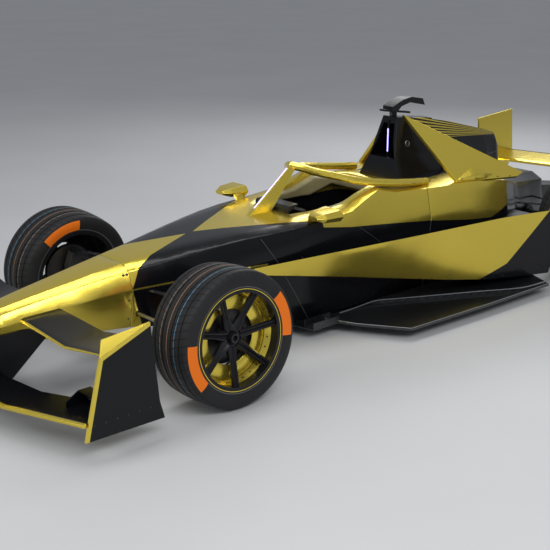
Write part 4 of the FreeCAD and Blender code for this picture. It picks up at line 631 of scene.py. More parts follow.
def finishes():
    """Every finish of the car, by a plain name."""
    return {
        "body": two_tone_paint("body_two_tone", body_livery, body_seams),
        "sidepod": two_tone_paint("sidepod_two_tone", sidepod_livery),
        "upper_plane": two_tone_paint("upper_plane_two_tone", upper_plane_livery),
        "lower_plane": two_tone_paint("lower_plane_two_tone", lower_plane_livery),
        "endplate": two_tone_paint("endplate_two_tone", endplate_livery),
        "rear_plane": two_tone_paint("rear_plane_two_tone", rear_wing_livery),
        "tower": two_tone_paint("tower_two_tone", spine_stripes),
        "gold": gold_paint(),
        "rim_gold": gold_paint("rim_gold"),
        "carbon": carbon("carbon_twill", 0.004, 0.26, contrast=0.6),
        "floor_carbon": carbon("floor_carbon_twill", 0.006, 0.24, coat=0.6, shine=0.5, contrast=0.25),
        "satin": satin_black(),
        "rim_black": satin_black("rim_black", 0.12),
        "steel": machined_metal("machined_steel", (0.62, 0.62, 0.64), 0.3),
        "dark_metal": machined_metal("dark_anodised", (0.07, 0.07, 0.077), 0.34),
        "disc": machined_metal("brake_carbon", (0.13, 0.125, 0.12), 0.45),
        "board": skid_board(),
        # painted highlight of the floor's carbon ridge and edges, not a real pale part
        "bead": satin_bead(),
        "rubber_front": tyre_rubber("front"),
        "rubber_rear": tyre_rubber("rear"),
        "strip": glowing_strip("violet_strip", (0.32, 0.24, 1.0), 2.0),
        "glass": mirror_glass(),
        "dark_glass": dark_glass(),
        "display": display_face(),
        "red_button": moulded_button("red_button", (0.55, 0.02, 0.02)),
        "blue_button": moulded_button("blue_button", (0.03, 0.12, 0.50)),
        "pale_button": moulded_button("pale_button", (0.62, 0.62, 0.58)),
        "lens": lamp_lens(),
        "belt": woven_fabric("belt_webbing", (0.05, 0.05, 0.06), (0.02, 0.02, 0.024), 0.003),
        "pad": woven_fabric("seat_cloth", (0.045, 0.045, 0.05), (0.016, 0.016, 0.018), 0.004),
        "hide": grained_leather("headrest_hide", (0.30, 0.26, 0.13), (0.19, 0.16, 0.07)),
    }


finish = finishes()


# Ways of making pieces

MERGE_DISTANCE = 0.00003
SHARP_DEG = 28
ALIKE = 0.88


def fitting(name, mesh, look, body="chassis"):
    """Piece of the car from a mesh that is already in place."""
    item = bpy.data.objects.new(name, mesh)
    bpy.context.scene.collection.objects.link(item)
    if look is not None:
        mesh.materials.clear()
        mesh.materials.append(look)
    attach(item, body)
    return item


def smooth(mesh, angle_deg):
    mesh.shade_smooth()
    mesh.set_sharp_from_angle(angle=math.radians(angle_deg))


def mesh_of(name, shape):
    mesh = bpy.data.meshes.new(name)
    shape.to_mesh(mesh)
    shape.free()
    return mesh


def piece(name, shape, look, angle_deg=30, body="chassis"):
    """Piece of the car from a shape that is already in place, smooth up to an angle."""
    mesh = mesh_of(name, shape)
    smooth(mesh, angle_deg)
    return fitting(name, mesh, finish[look], body)


def outward(shape):
    bmesh.ops.recalc_face_normals(shape, faces=shape.faces)
    return shape


def flipped(mesh, name):
    """Copy of a mesh on the car's other side."""
    shape = bmesh.new()
    shape.from_mesh(mesh)
    for corner in shape.verts:
        corner.co.y = -corner.co.y
    bmesh.ops.reverse_faces(shape, faces=shape.faces)
    other = mesh_of(name, shape)
    for look in mesh.materials:
        other.materials.append(look)
    return other


def both_sides(shape):
    """Adds the shape's mirror image on the car's other side."""
    made = bmesh.ops.duplicate(shape, geom=shape.verts[:] + shape.edges[:] + shape.faces[:])["geom"]
    for corner in (part for part in made if isinstance(part, bmesh.types.BMVert)):
        corner.co.y = -corner.co.y
    bmesh.ops.reverse_faces(shape, faces=[part for part in made if isinstance(part, bmesh.types.BMFace)])
    return shape


def clean_copy(node):
    """The node's surface as a closed mesh with flat faces merged."""
    shape = bmesh.new()
    shape.from_mesh(frame["nodes"][node].data)
    bmesh.ops.remove_doubles(shape, verts=shape.verts, dist=MERGE_DISTANCE)
    bmesh.ops.dissolve_degenerate(shape, edges=shape.edges, dist=MERGE_DISTANCE)
    bmesh.ops.dissolve_limit(shape, angle_limit=math.radians(0.5), verts=shape.verts, edges=shape.edges)
    return shape


def bake_modifiers(item):
    """The piece's modifiers made part of its mesh."""
    seen = item.evaluated_get(bpy.context.evaluated_depsgraph_get())
    mesh = bpy.data.meshes.new_from_object(seen)
    item.modifiers.clear()
    item.data = mesh


def finely_cut(shape, longest):
    """Cuts the faces into triangles with no edge over the longest."""
    bmesh.ops.triangulate(shape, faces=shape.faces)
    for _ in range(8):
        long_edges = [edge for edge in shape.edges if edge.calc_length() > longest]
        if not long_edges:
            break
        bmesh.ops.subdivide_edges(shape, edges=long_edges, cuts=1)
        bmesh.ops.triangulate(shape, faces=[face for face in shape.faces if len(face.verts) > 3])
    shape.faces.index_update()


def unit_rows(rows):
    return rows / numpy.maximum(numpy.linalg.norm(rows, axis=1, keepdims=True), 1e-12)


def panel_directions(shape, area, longest, crease_deg, passes):
    """Directions of the faces, spread from face to face over each panel up to its creases."""
    inner = [edge for edge in shape.edges if len(edge.link_faces) == 2]
    pairs = numpy.array([[face.index for face in edge.link_faces] for edge in inner])
    length = numpy.array([edge.calc_length() for edge in inner])
    middle = numpy.array([face.calc_center_median() for face in shape.faces])
    spread = numpy.array([face.normal for face in shape.faces])
    here, there = pairs[:, 0], pairs[:, 1]
    apart = numpy.linalg.norm(middle[here] - middle[there], axis=1)
    share = (longest ** 2 * length / numpy.maximum(apart, 1e-5))[:, None]
    for _ in range(passes):
        smooth_edge = (spread[here] * spread[there]).sum(1) > math.cos(math.radians(crease_deg))
        carried = smooth_edge[:, None] * share
        total = spread * area
        numpy.add.at(total, here, carried * spread[there])
        numpy.add.at(total, there, carried * spread[here])
        spread = unit_rows(total)
    return spread


def corner_directions(shape, area, spread):
    """Direction at each corner of each face: the mean of those round its point that lie nearly alike."""
    corner_face = numpy.array([face.index for face in shape.faces for _ in face.verts])
    corner_point = numpy.array([corner.index for face in shape.faces for corner in face.verts])
    order = numpy.argsort(corner_point, kind="stable")
    counts = numpy.bincount(corner_point)
    starts = numpy.cumsum(counts) - counts
    count = counts[corner_point]
    first = numpy.repeat(numpy.arange(len(corner_point)), count)
    step = numpy.arange(len(first)) - numpy.repeat(numpy.cumsum(count) - count, count)
    second = order[numpy.repeat(starts[corner_point], count) + step]
    own, other = corner_face[first], corner_face[second]
    alike = ((spread[own] * spread[other]).sum(1) > ALIKE)[:, None]
    directions = numpy.zeros((len(corner_point), 3))
    numpy.add.at(directions, first, alike * area[other] * spread[other])
    return unit_rows(directions)


def evenly_shaded(item, longest, crease_deg=20, passes=14):
    """Cuts the piece's surface finely and spreads its shading evenly over each panel, up to the creases."""
    bake_modifiers(item)
    shape = bmesh.new()
    shape.from_mesh(item.data)
    finely_cut(shape, longest)
    area = numpy.array([face.calc_area() for face in shape.faces])[:, None]
    spread = panel_directions(shape, area, longest, crease_deg, passes)
    directions = corner_directions(shape, area, spread)
    shape.to_mesh(item.data)
    shape.free()
    item.data.shade_smooth()
    item.data.normals_split_custom_set(directions.tolist())


def rounded_skin(node, look, radius, body="chassis"):
    """The node's own surface with its edges rounded over, standing for the node."""
    mesh = mesh_of(node + "_skin", clean_copy(node))
    stored = mesh.attributes.get("custom_normal")
    if stored:
        mesh.attributes.remove(stored)
    smooth(mesh, SHARP_DEG)
    item = fitting(node + "_skin", mesh, look, body)
    edge = item.modifiers.new("edge radius", "BEVEL")
    edge.width = radius
    edge.segments = 2
    edge.limit_method = "ANGLE"
    edge.angle_limit = math.radians(SHARP_DEG)
    even = item.modifiers.new("even shading", "WEIGHTED_NORMAL")
    even.keep_sharp = False
    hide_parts(node)
    return item


def ring_of(shape, radius, z, steps):
    """Closed ring of points about the Z axis."""
    angles = [math.tau * i / steps for i in range(steps)]
    return [shape.verts.new((radius * math.cos(angle), radius * math.sin(angle), z)) for angle in angles]


def bridge(shape, here, ahead):
    """Faces from one closed ring of points to the next."""
    for i, point in enumerate(here):
        j = (i + 1) % len(here)
        shape.faces.new((point, here[j], ahead[j], ahead[i]))


def lathe(profile, steps, chart=None, shares=None):
    """Ring turned about the Y axis from (y, radius) points; the profile closes on itself."""
    shape = bmesh.new()
    turned = []
    for step in range(steps):
        across, up = math.cos(math.tau * step / steps), math.sin(math.tau * step / steps)
        turned.append([shape.verts.new((radius * across, y, radius * up)) for y, radius in profile])
    layer = shape.loops.layers.uv.new(chart) if chart else None
    count = len(profile)
    for step in range(steps):
        here, ahead = turned[step], turned[(step + 1) % steps]
        for i in range(count):
            j = (i + 1) % count
            face = shape.faces.new((here[i], here[j], ahead[j], ahead[i]))
            if layer:
                for loop, turn, row in zip(face.loops, (step, step, step + 1, step + 1), (i, j, j, i)):
                    loop[layer].uv = (turn / steps, shares[row])
    return outward(shape)


def prism(outline, depth):
    """Flat outline carried along a vector, closed at both ends."""
    shape = bmesh.new()
    depth = Vector(depth)
    low = [shape.verts.new(Vector(point)) for point in outline]
    high = [shape.verts.new(Vector(point) + depth) for point in outline]
    shape.faces.new(low)
    shape.faces.new(list(reversed(high)))
    count = len(outline)
    for i in range(count):
        j = (i + 1) % count
        shape.faces.new((low[j], low[i], high[i], high[j]))
    return outward(shape)


def rounded_outline(half_width, half_height, corner, steps=5):
    """Rounded rectangle in two dimensions."""
    points = []
    for side_w, side_h, start in ((1, 1, 0), (-1, 1, 90), (-1, -1, 180), (1, -1, 270)):
        for i in range(steps + 1):
            angle = math.radians(start + 90 * i / steps)
            points.append((side_w * (half_width - corner) + corner * math.cos(angle),
                           side_h * (half_height - corner) + corner * math.sin(angle)))
    return points


def curve_point(a, b, c, d, t):
    """Point at a share t of the way from b to c on an even curve through a, b, c and d."""
    bend = 2 * a - 5 * b + 4 * c - d
    twist = 3 * b - a - 3 * c + d
    return 0.5 * (2 * b + (c - a) * t + bend * t * t + twist * t ** 3)


def smooth_path(points, steps):
    """Even curve through the points."""
    points = [Vector(point) for point in points]
    ends = [points[0] * 2 - points[1]] + points + [points[-1] * 2 - points[-2]]
    path = []
    for four in zip(ends, ends[1:], ends[2:], ends[3:]):
        path += [curve_point(*four, i / steps) for i in range(steps)]
    path.append(points[-1])
    return path


def ribbon(path, across, width, thickness):
    """Flat strap along a path, its width lying along the given direction as far as the path allows."""
    shape = bmesh.new()
    half_w, half_t = width / 2, thickness / 2
    edge = thickness * 0.35
    section = [(-half_w, edge - half_t), (edge - half_w, -half_t), (half_w - edge, -half_t),
               (half_w, edge - half_t), (half_w, half_t - edge), (half_w - edge, half_t),
               (edge - half_w, half_t), (-half_w, half_t - edge)]
    sections = []
    for i, point in enumerate(path):
        forward = (path[min(i + 1, len(path) - 1)] - path[max(i - 1, 0)]).normalized()
        side = Vector(across)
        side = (side - forward * side.dot(forward)).normalized()
        up = forward.cross(side)
        sections.append([shape.verts.new(point + side * a + up * b) for a, b in section])
    for here, ahead in zip(sections, sections[1:]):
        bridge(shape, here, ahead)
    shape.faces.new(sections[0])
    shape.faces.new(list(reversed(sections[-1])))
    return outward(shape)


def joined(shapes):
    """One mesh in place of several."""
    whole = bmesh.new()
    for shape in shapes:
        part = mesh_of("part", shape)
        whole.from_mesh(part)
        bpy.data.meshes.remove(part)
    return whole


def surface_of(node):
    """Search tree of a node's surface, for finding where a fitting sits on it."""
    mesh = frame["nodes"][node].data
    points = [corner.co for corner in mesh.vertices]
    return BVHTree.FromPolygons(points, [face.vertices for face in mesh.polygons])


def landing(surface, start, direction):
    """Point and outward direction where a straight line meets a surface."""
    point, normal, _, _ = surface.ray_cast(Vector(start), Vector(direction))
    if point is None:
        return None, None
    if normal.dot(Vector(direction)) > 0:
        normal = -normal
    return point, normal


def facing(point, normal, upward=(0, 0, 1)):
    """Place whose Z axis stands on a surface and whose Y axis looks up."""
    z_axis = Vector(normal).normalized()
    x_axis = Vector(upward).cross(z_axis)
    if x_axis.length < 0.01:
        x_axis = Vector((0, 1, 0))
    x_axis.normalize()
    y_axis = z_axis.cross(x_axis)
    turn = Matrix((x_axis, y_axis, z_axis)).transposed().to_4x4()
    return Matrix.Translation(Vector(point)) @ turn


def turned_part(profile, steps=24):
    """Solid of revolution about Z from (radius, z) points that start and end on the axis."""
    shape = bmesh.new()
    turned = []
    for radius, z in profile:
        turned.append(ring_of(shape, radius, z, steps) if radius else [shape.verts.new((0, 0, z))])
    for low, high in zip(turned, turned[1:]):
        for i in range(steps):
            j = (i + 1) % steps
            corners = [low[0]] if len(low) == 1 else [low[i], low[j]]
            corners += [high[0]] if len(high) == 1 else [high[j], high[i]]
            shape.faces.new(corners)
    return outward(shape)


def in_place(shape, matrix):
    bmesh.ops.transform(shape, matrix=matrix, verts=shape.verts)
    return shape


# Geometry Nodes trees for what repeats

def new_tree(name, inputs):
    """Empty Geometry Nodes tree with named inputs and one geometry output."""
    tree = bpy.data.node_groups.new(name, "GeometryNodeTree")
    for label, kind in inputs:
        tree.interface.new_socket(label, in_out="INPUT", socket_type="NodeSocket" + kind)
    tree.interface.new_socket("Fasteners", in_out="OUTPUT", socket_type="NodeSocketGeometry")
    return tree, tree.nodes.new("NodeGroupInput"), tree.nodes.new("NodeGroupOutput")


def stand_and_finish(tree, given, result, points, direction):
    """Stands the fastener on the points along a direction, makes it real and gives it its finish."""
    aim = added(tree, "FunctionNodeAlignRotationToVector", {"Vector": direction})
    aim.axis = "Z"
    source = added(tree, "GeometryNodeObjectInfo", {"Object": given.outputs["Fastener"]})
    stand = added(tree, "GeometryNodeInstanceOnPoints", {
        "Points": points, "Instance": source.outputs["Geometry"], "Rotation": aim.outputs["Rotation"]})
    real = added(tree, "GeometryNodeRealizeInstances", {"Geometry": stand.outputs["Instances"]})
    paint = added(tree, "GeometryNodeSetMaterial", {
        "Geometry": real.outputs["Geometry"], "Material": given.outputs["Finish"]})
    fed(tree, result, {"Fasteners": paint.outputs["Geometry"]})


def ring_tree():
    """Fasteners on a circle about the wheel's axis, heads inwards or along the axis."""
    tree, given, result = new_tree("fastener_ring", [
        ("Geometry", "Geometry"), ("Count", "Int"), ("Radius", "Float"), ("Offset", "Float"),
        ("Heads Inward", "Float"), ("Fastener", "Object"), ("Finish", "Material")])
    circle = added(tree, "GeometryNodeMeshCircle", {
        "Vertices": given.outputs["Count"], "Radius": given.outputs["Radius"]})
    place = added(tree, "ShaderNodeCombineXYZ", {"Y": given.outputs["Offset"]})
    tilt = added(tree, "GeometryNodeTransform", {
        "Geometry": circle.outputs["Mesh"], "Rotation": (math.pi / 2, 0, 0),
        "Translation": place.outputs["Vector"]})
    where = tree.nodes.new("GeometryNodeInputPosition")
    inward = tree.nodes.new("ShaderNodeVectorMath")
    inward.operation = "MULTIPLY"
    fed(tree, inward, {0: where.outputs["Position"], 1: (-1, 0, -1)})
    blend = tree.nodes.new("ShaderNodeMix")
    blend.data_type = "VECTOR"
    fed(tree, blend, {"Factor": given.outputs["Heads Inward"], 4: (0, 1, 0), 5: inward.outputs["Vector"]})
    stand_and_finish(tree, given, result, tilt.outputs["Geometry"], blend.outputs[1])
    return tree


def row_tree():
    """Fasteners evenly spaced along a path, let down onto a panel and standing square to its surface."""
    tree, given, result = new_tree("fastener_row", [
        ("Path", "Geometry"), ("Panel", "Object"), ("Spacing", "Float"), ("Towards", "Vector"),
        ("Fastener", "Object"), ("Finish", "Material")])
    curve = added(tree, "GeometryNodeMeshToCurve", {"Mesh": given.outputs["Path"]})
    points = tree.nodes.new("GeometryNodeCurveToPoints")
    points.mode = "LENGTH"
    fed(tree, points, {"Curve": curve.outputs["Curve"], "Length": given.outputs["Spacing"]})
    panel = added(tree, "GeometryNodeObjectInfo", {"Object": given.outputs["Panel"]})
    cast = added(tree, "GeometryNodeRaycast", {
        "Ray Length": 2.0, "Target Geometry": panel.outputs["Geometry"],
        "Ray Direction": given.outputs["Towards"]})
    keep = tree.nodes.new("GeometryNodeCaptureAttribute")
    keep.capture_items.new("VECTOR", "Square")
    keep.capture_items.new("BOOLEAN", "Landed")
    fed(tree, keep, {"Geometry": points.outputs["Points"], "Square": cast.outputs["Hit Normal"],
                     "Landed": cast.outputs["Is Hit"]})
    settle = added(tree, "GeometryNodeSetPosition", {
        "Geometry": keep.outputs["Geometry"], "Position": cast.outputs["Hit Position"]})
    landed = added(tree, "GeometryNodeSeparateGeometry", {
        "Geometry": settle.outputs["Geometry"], "Selection": keep.outputs["Landed"]})
    stand_and_finish(tree, given, result, landed.outputs["Selection"], keep.outputs["Square"])
    return tree


def grown(tree, carrier_mesh, values):
    """Plain mesh that a tree makes with the given inputs."""
    carrier = bpy.data.objects.new("carrier", carrier_mesh)
    bpy.context.scene.collection.objects.link(carrier)
    modifier = carrier.modifiers.new("growth", "NODES")
    modifier.node_group = tree
    for socket in tree.interface.items_tree:
        if socket.in_out == "INPUT" and socket.name in values:
            modifier[socket.identifier] = values[socket.name]
    seen = carrier.evaluated_get(bpy.context.evaluated_depsgraph_get())
    mesh = bpy.data.meshes.new_from_object(seen)
    bpy.data.objects.remove(carrier)
    return mesh


def path_mesh(points):
    shape = bmesh.new()
    corners = [shape.verts.new(point) for point in points]
    for here, ahead in zip(corners, corners[1:]):
        shape.edges.new((here, ahead))
    return mesh_of("path", shape)


def pattern_part(name, shape):
    """Fastener that the trees repeat; it is removed once they are done."""
    item = bpy.data.objects.new(name, mesh_of(name, shape))
    bpy.context.scene.collection.objects.link(item)
    return item


def socket_screw(radius, height):
    """Low domed screw with a hexagon socket, its foot at the origin and its head along Z."""
    shape = bmesh.new()
    bore = radius * 0.42
    outline = ((radius, 0.0), (radius, height * 0.45), (radius * 0.78, height), (bore, height),
               (bore, height * 0.35))
    turned = [ring_of(shape, ring_radius, z, 12) for ring_radius, z in outline]
    for low, high in zip(turned, turned[1:]):
        bridge(shape, low, high)
    shape.faces.new(turned[0])
    shape.faces.new(turned[-1])
    return outward(shape)


fastener_ring = ring_tree()
fastener_row = row_tree()
small_screw = pattern_part("small_screw", socket_screw(0.0045, 0.0018))
rim_bolt = pattern_part("rim_bolt", socket_screw(0.0042, 0.0034))


def screw_row(name, points, panel, towards, spacing):
    """Row of small screws let down onto a panel."""
    values = {"Panel": panel, "Spacing": spacing, "Towards": towards, "Fastener": small_screw,
              "Finish": finish["dark_metal"]}
    mesh = grown(fastener_row, path_mesh(points), values)
    if not mesh.polygons:
        print("no screws landed:", name)
        return
    mesh.name = name
    smooth(mesh, 30)
    fitting(name, mesh, None)


def screw_rows(name, points, panels, towards, spacing):
    """The same row on the left and on the right."""
    for side, sign in SIDES:
        path = [(x, sign * y, z) for x, y, z in points]
        away = (towards[0], sign * towards[1], towards[2])
        screw_row(name + "_" + side, path, panels[side], away, spacing)


# Wheels and tyres, with the trim's outlines as (y from its seat, radius) and the valve's as (radius, z)

LIP_RING = ((-0.001, 0.2375), (0.0012, 0.2380), (0.0012, 0.2415), (-0.001, 0.2420))
HUB_COLLAR = ((-0.001, 0.034), (0.006, 0.034), (0.008, 0.037), (0.008, 0.043), (0.006, 0.046),
              (-0.001, 0.046))
NUT_CLIP = ((-0.004, 0.0138), (0.0015, 0.0142), (0.0015, 0.0205), (-0.002, 0.0215))
INNER_PLATE = ((-0.002, 0.132), (0.001, 0.131), (0.004, 0.136), (0.004, 0.196),
               (0.001, BARREL_RADIUS + 0.001), (-0.002, BARREL_RADIUS + 0.001))
VALVE = ((0, 0), (0.0042, 0), (0.0042, 0.012), (0.0034, 0.013), (0.0034, 0.024), (0.0046, 0.025),
         (0.0046, 0.036), (0.003, 0.038), (0, 0.038))


def wheel_matrix(corner):
    """Place of a left wheel whose axle is drawn along Y."""
    joint = joints["wheel_spin_" + corner + "_left"]
    axis = Vector(joint["axis"])
    return Matrix.Translation(Vector(joint["pos_m"])) @ Matrix.Rotation(math.atan2(axis.z, axis.y), 4, "X")


def both_wheels(name, shape, corner, look, angle_deg=35):
    """Left and right pieces of one wheel fitting, each on its own wheel."""
    in_place(shape, wheel_matrix(corner))
    left = mesh_of(name + "_" + corner + "_left", shape)
    right = flipped(left, name + "_" + corner + "_right")
    made = []
    for (side, _), mesh in zip(SIDES, (left, right)):
        smooth(mesh, angle_deg)
        made.append(fitting(mesh.name, mesh, finish[look], "wheel_body_" + corner + "_" + side))
    return made


def tyre(corner):
    """Tyre with grooved tread and bulged walls, standing for the plain one."""
    profile = tyre_profile(corner)
    radius = TYRES[corner][0]
    inner = [(profile[-1][0] - 0.008, 0.2295), (profile[-1][0] - 0.02, radius - 0.06),
             (profile[0][0] + 0.02, radius - 0.06), (profile[0][0] + 0.008, 0.2295)]
    shares = shares_along(profile) + [1.1, 1.2, 1.3, 1.4]
    shape = lathe(profile + inner, 144, "tyre", shares)
    pieces = both_wheels("tyre_tread", shape, corner, "rubber_" + corner, 38)
    for (side, _), item in zip(SIDES, pieces):
        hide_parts("tyre_" + corner + "_" + side)


def rim(corner):
    """Painted rim: black spokes and lip, and a gold barrel from the inner plate out to the lip."""
    flange_y = TYRES[corner][1] / 2 - RIM_INSET
    plate_y = flange_y * WELL_SHARE - 0.006
    home = wheel_matrix(corner).inverted()
    for side, sign in SIDES:
        body = "wheel_body_" + corner + "_" + side
        item = rounded_skin("wheel_" + corner + "_" + side, finish["rim_black"], 0.0012, body)
        item.data.materials.append(finish["rim_gold"])
        for face in item.data.polygons:
            local = home @ Vector((face.center.x, face.center.y * sign, face.center.z))
            in_barrel = math.hypot(local.x, local.z) > BARREL_RADIUS - 0.006
            face.material_index = 1 if in_barrel and plate_y < local.y < flange_y - 0.036 else 0


def ring_at(seat_y, outline, steps):
    """Ring of a wheel from its (y, radius) outline, set out from its seat."""
    return lathe([(seat_y + y, radius) for y, radius in outline], steps)


def wheel_details(corner):
    """Gold lip ring and inner plate, drive ring and clip of the centre nut, tyre valve and bolts."""
    rim_half = TYRES[corner][1] / 2 - RIM_INSET
    hub_y = rim_half - HUB_FACE_INSET
    lip = ring_at(rim_half + RIM_FLANGE, LIP_RING, 96)
    both_wheels("lip_ring", lip, corner, "rim_gold")
    both_wheels("hub_collar", ring_at(hub_y, HUB_COLLAR, 48), corner, "dark_metal")
    clip = ring_at(hub_y + NUT_DEPTH, NUT_CLIP, 36)
    both_wheels("nut_clip", clip, corner, "dark_metal")
    plate = ring_at(rim_half * WELL_SHARE - 0.004, INNER_PLATE, 96)
    for item in both_wheels("inner_plate", plate, corner, "rim_gold"):
        item.data.materials.append(finish["rim_black"])
        for face in item.data.polygons:
            face.material_index = 1 if face.normal.y * face.center.y < 0 else 0
    turn = Matrix.Rotation(math.radians(33), 4, "Y")
    stem = Matrix.Translation((0, rim_half - 0.026, 0.2225)) @ Matrix.Rotation(math.radians(-118), 4, "X")
    valve = in_place(turned_part(VALVE, 12), turn @ stem)
    both_wheels("valve", valve, corner, "steel")
    bolt_y = rim_half * (WELL_SHARE + LEDGE_SHARE) / 2
    bolt_r = (BARREL_RADIUS + BARREL_MOUTH_RADIUS) / 2
    for label, count, radius, offset, inward, look in (
            ("barrel_bolts", 28, bolt_r, bolt_y, 1.0, "dark_metal"),
            ("hub_bolts", 7, 0.052, hub_y - 0.0004, 0.0, "steel")):
        values = {"Count": count, "Radius": radius, "Offset": offset, "Heads Inward": inward,
                  "Fastener": rim_bolt, "Finish": finish[look]}
        shape = bmesh.new()
        shape.from_mesh(grown(fastener_ring, bpy.data.meshes.new("empty"), values))
        both_wheels(label, shape, corner, look, 30)


# Cockpit

COLUMN_TILT = math.radians(14)
WHEEL_FACE_X = 0.0258
DISPLAY = rounded_outline(0.0485, 0.0235, 0.004)
BUTTON_CAP = ((0, 0), (0.0062, 0), (0.0062, 0.0030), (0.0052, 0.0042), (0.0040, 0.0044),
              (0.0036, 0.0036), (0, 0.0036))
BUTTONS = {
    "red_button": ((0.074, 0.046), (-0.074, -0.018)),
    "blue_button": ((-0.074, 0.046), (0.074, -0.018)),
    "pale_button": ((0.074, 0.026), (-0.074, 0.026), (0.030, -0.012), (-0.030, -0.012)),
}
KNOB = ((0, 0), (0.0095, 0), (0.0095, 0.003), (0.0080, 0.010), (0.0060, 0.011), (0, 0.011))
KNOBS = ((-0.042, -0.036), (0, -0.036), (0.042, -0.036))
PADDLE = ((0.045, -0.004), (0.100, 0.006), (0.112, 0.034), (0.096, 0.040), (0.045, 0.018))
PAD_CELL = 0.006
BUCKLE_PLACE = Vector((-0.080, 0, 0.222))
BUCKLE = ((0, -0.006), (0.028, -0.006), (0.031, -0.003), (0.031, 0.004), (0.027, 0.009),
          (0.018, 0.011), (0.017, 0.009), (0, 0.009))
STRAP = 0.0028


def wheel_place():
    """Place of the steering wheel: X towards the driver, Z up its face."""
    joint = joints["steering_wheel_turn"]
    back = Vector((-math.cos(COLUMN_TILT), 0, math.sin(COLUMN_TILT)))
    up = Vector((math.sin(COLUMN_TILT), 0, math.cos(COLUMN_TILT)))
    turn = Matrix((back, up.cross(back), up)).transposed().to_4x4()
    return Matrix.Translation(Vector(joint["pos_m"])) @ turn


def on_wheel(name, shape, look):
    """Piece of the steering wheel, drawn in the wheel's own place."""
    piece(name, in_place(shape, wheel_place()), look, body="steering_wheel")


def on_face(outline, places, steps):
    """Turned parts that stand on the steering wheel's face."""
    stand = Matrix.Rotation(math.pi / 2, 4, "Y")
    return joined([in_place(turned_part(outline, steps), Matrix.Translation((WHEEL_FACE_X, y, z)) @ stand)
                   for y, z in places])


def steering_details():
    """Display, buttons, knobs and shift paddles of the steering wheel."""
    rounded_skin("steering_wheel", finish["satin"], 0.002, "steering_wheel")
    glass = prism([(0.0311, y, z + 0.025) for y, z in DISPLAY], (0.0012, 0, 0))
    on_wheel("wheel_display", glass, "display")
    for look, places in BUTTONS.items():
        on_wheel(look + "s", on_face(BUTTON_CAP, places, 16), look)
    on_wheel("wheel_knobs", on_face(KNOB, KNOBS, 20), "satin")
    paddle = prism([(-0.004, y, z) for y, z in PADDLE], (0.003, 0, 0))
    on_wheel("shift_paddles", both_sides(paddle), "carbon")


def padded_piece(name, shape, look, cap, pressure=4.0):
    """Soft piece blown up by a short cloth run, in which no point moves by more than the cap."""
    mesh = mesh_of(name, shape)
    item = bpy.data.objects.new(name, mesh)
    bpy.context.scene.collection.objects.link(item)
    coarse = item.modifiers.new("even faces", "REMESH")
    coarse.mode = "VOXEL"
    coarse.voxel_size = PAD_CELL
    bake_modifiers(item)
    before = [corner.co.copy() for corner in item.data.vertices]
    cloth = item.modifiers.new("stuffing", "CLOTH")
    cloth.settings.quality = 5
    cloth.settings.mass = 0.3
    cloth.settings.use_pressure = True
    cloth.settings.uniform_pressure_force = pressure
    cloth.settings.effector_weights.gravity = 0
    cloth.settings.tension_stiffness = 12
    cloth.settings.bending_stiffness = 0.5
    for step in range(1, 21):
        bpy.context.scene.frame_set(step)
    bake_modifiers(item)
    bpy.context.scene.frame_set(1)
    for corner, home in zip(item.data.vertices, before):
        moved = corner.co - home
        if moved.length > cap:
            corner.co = home + moved * (cap / moved.length)
    item.data.shade_smooth()
    item.data.materials.clear()
    item.data.materials.append(finish[look])
    finer = item.modifiers.new("finer", "SUBSURF")
    finer.levels = finer.render_levels = 1
    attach(item, "chassis")
    return item


def sewn(item, lines, depth, width):
    """Presses stitched channels into a pad: each line is a function that is zero along the seam."""
    mesh = item.data
    pressed = []
    for corner in mesh.vertices:
        push = sum(math.exp(-(line(corner.co) / width) ** 2) for line in lines)
        pressed.append(corner.co - corner.normal * min(push, 1) * depth)
    for corner, place in zip(mesh.vertices, pressed):
        corner.co = place


def seat_pads():
    """Back and base cushions of the driver's seat, each a crowned pad with sewn channels."""
    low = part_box("seat")[0]
    back = [(low.x + 0.086, 0.176), (low.x + 0.030, 0.485), (low.x + 0.060, 0.490), (low.x + 0.120, 0.186)]
    pad = prism([(x, -0.165, z) for x, z in back], (0, 0.330, 0))
    cushion = padded_piece("back_cushion", pad, "pad", 0.008)
    sewn(cushion, [lambda p: p.y - 0.055, lambda p: p.y + 0.055, lambda p: p.z - 0.30, lambda p: p.z - 0.40],
         0.006, 0.006)
    base = [(low.x + 0.135, 0.153), (0.110, 0.170), (0.110, 0.192), (low.x + 0.135, 0.186)]
    pad = prism([(x, -0.160, z) for x, z in base], (0, 0.320, 0))
    cushion = padded_piece("base_cushion", pad, "pad", 0.007)
    sewn(cushion, [lambda p: p.y, lambda p: p.x + 0.02, lambda p: p.x + 0.10], 0.005, 0.006)


def headrest():
    """Hide-covered foam round the driver's helmet, standing for the plain block."""
    shape = clean_copy("headrest")
    bmesh.ops.triangulate(shape, faces=shape.faces)
    middle = sum((corner.co for corner in shape.verts), Vector()) / len(shape.verts)
    for corner in shape.verts:
        corner.co.z = middle.z + (corner.co.z - middle.z) * 0.90
    pad = padded_piece("headrest_pad", shape, "hide", 0.005, 3.0)
    sewn(pad, [lambda p: p.x + 0.20, lambda p: abs(p.y) - 0.10 if p.x < -0.26 else 1.0], 0.003, 0.005)
    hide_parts("headrest")


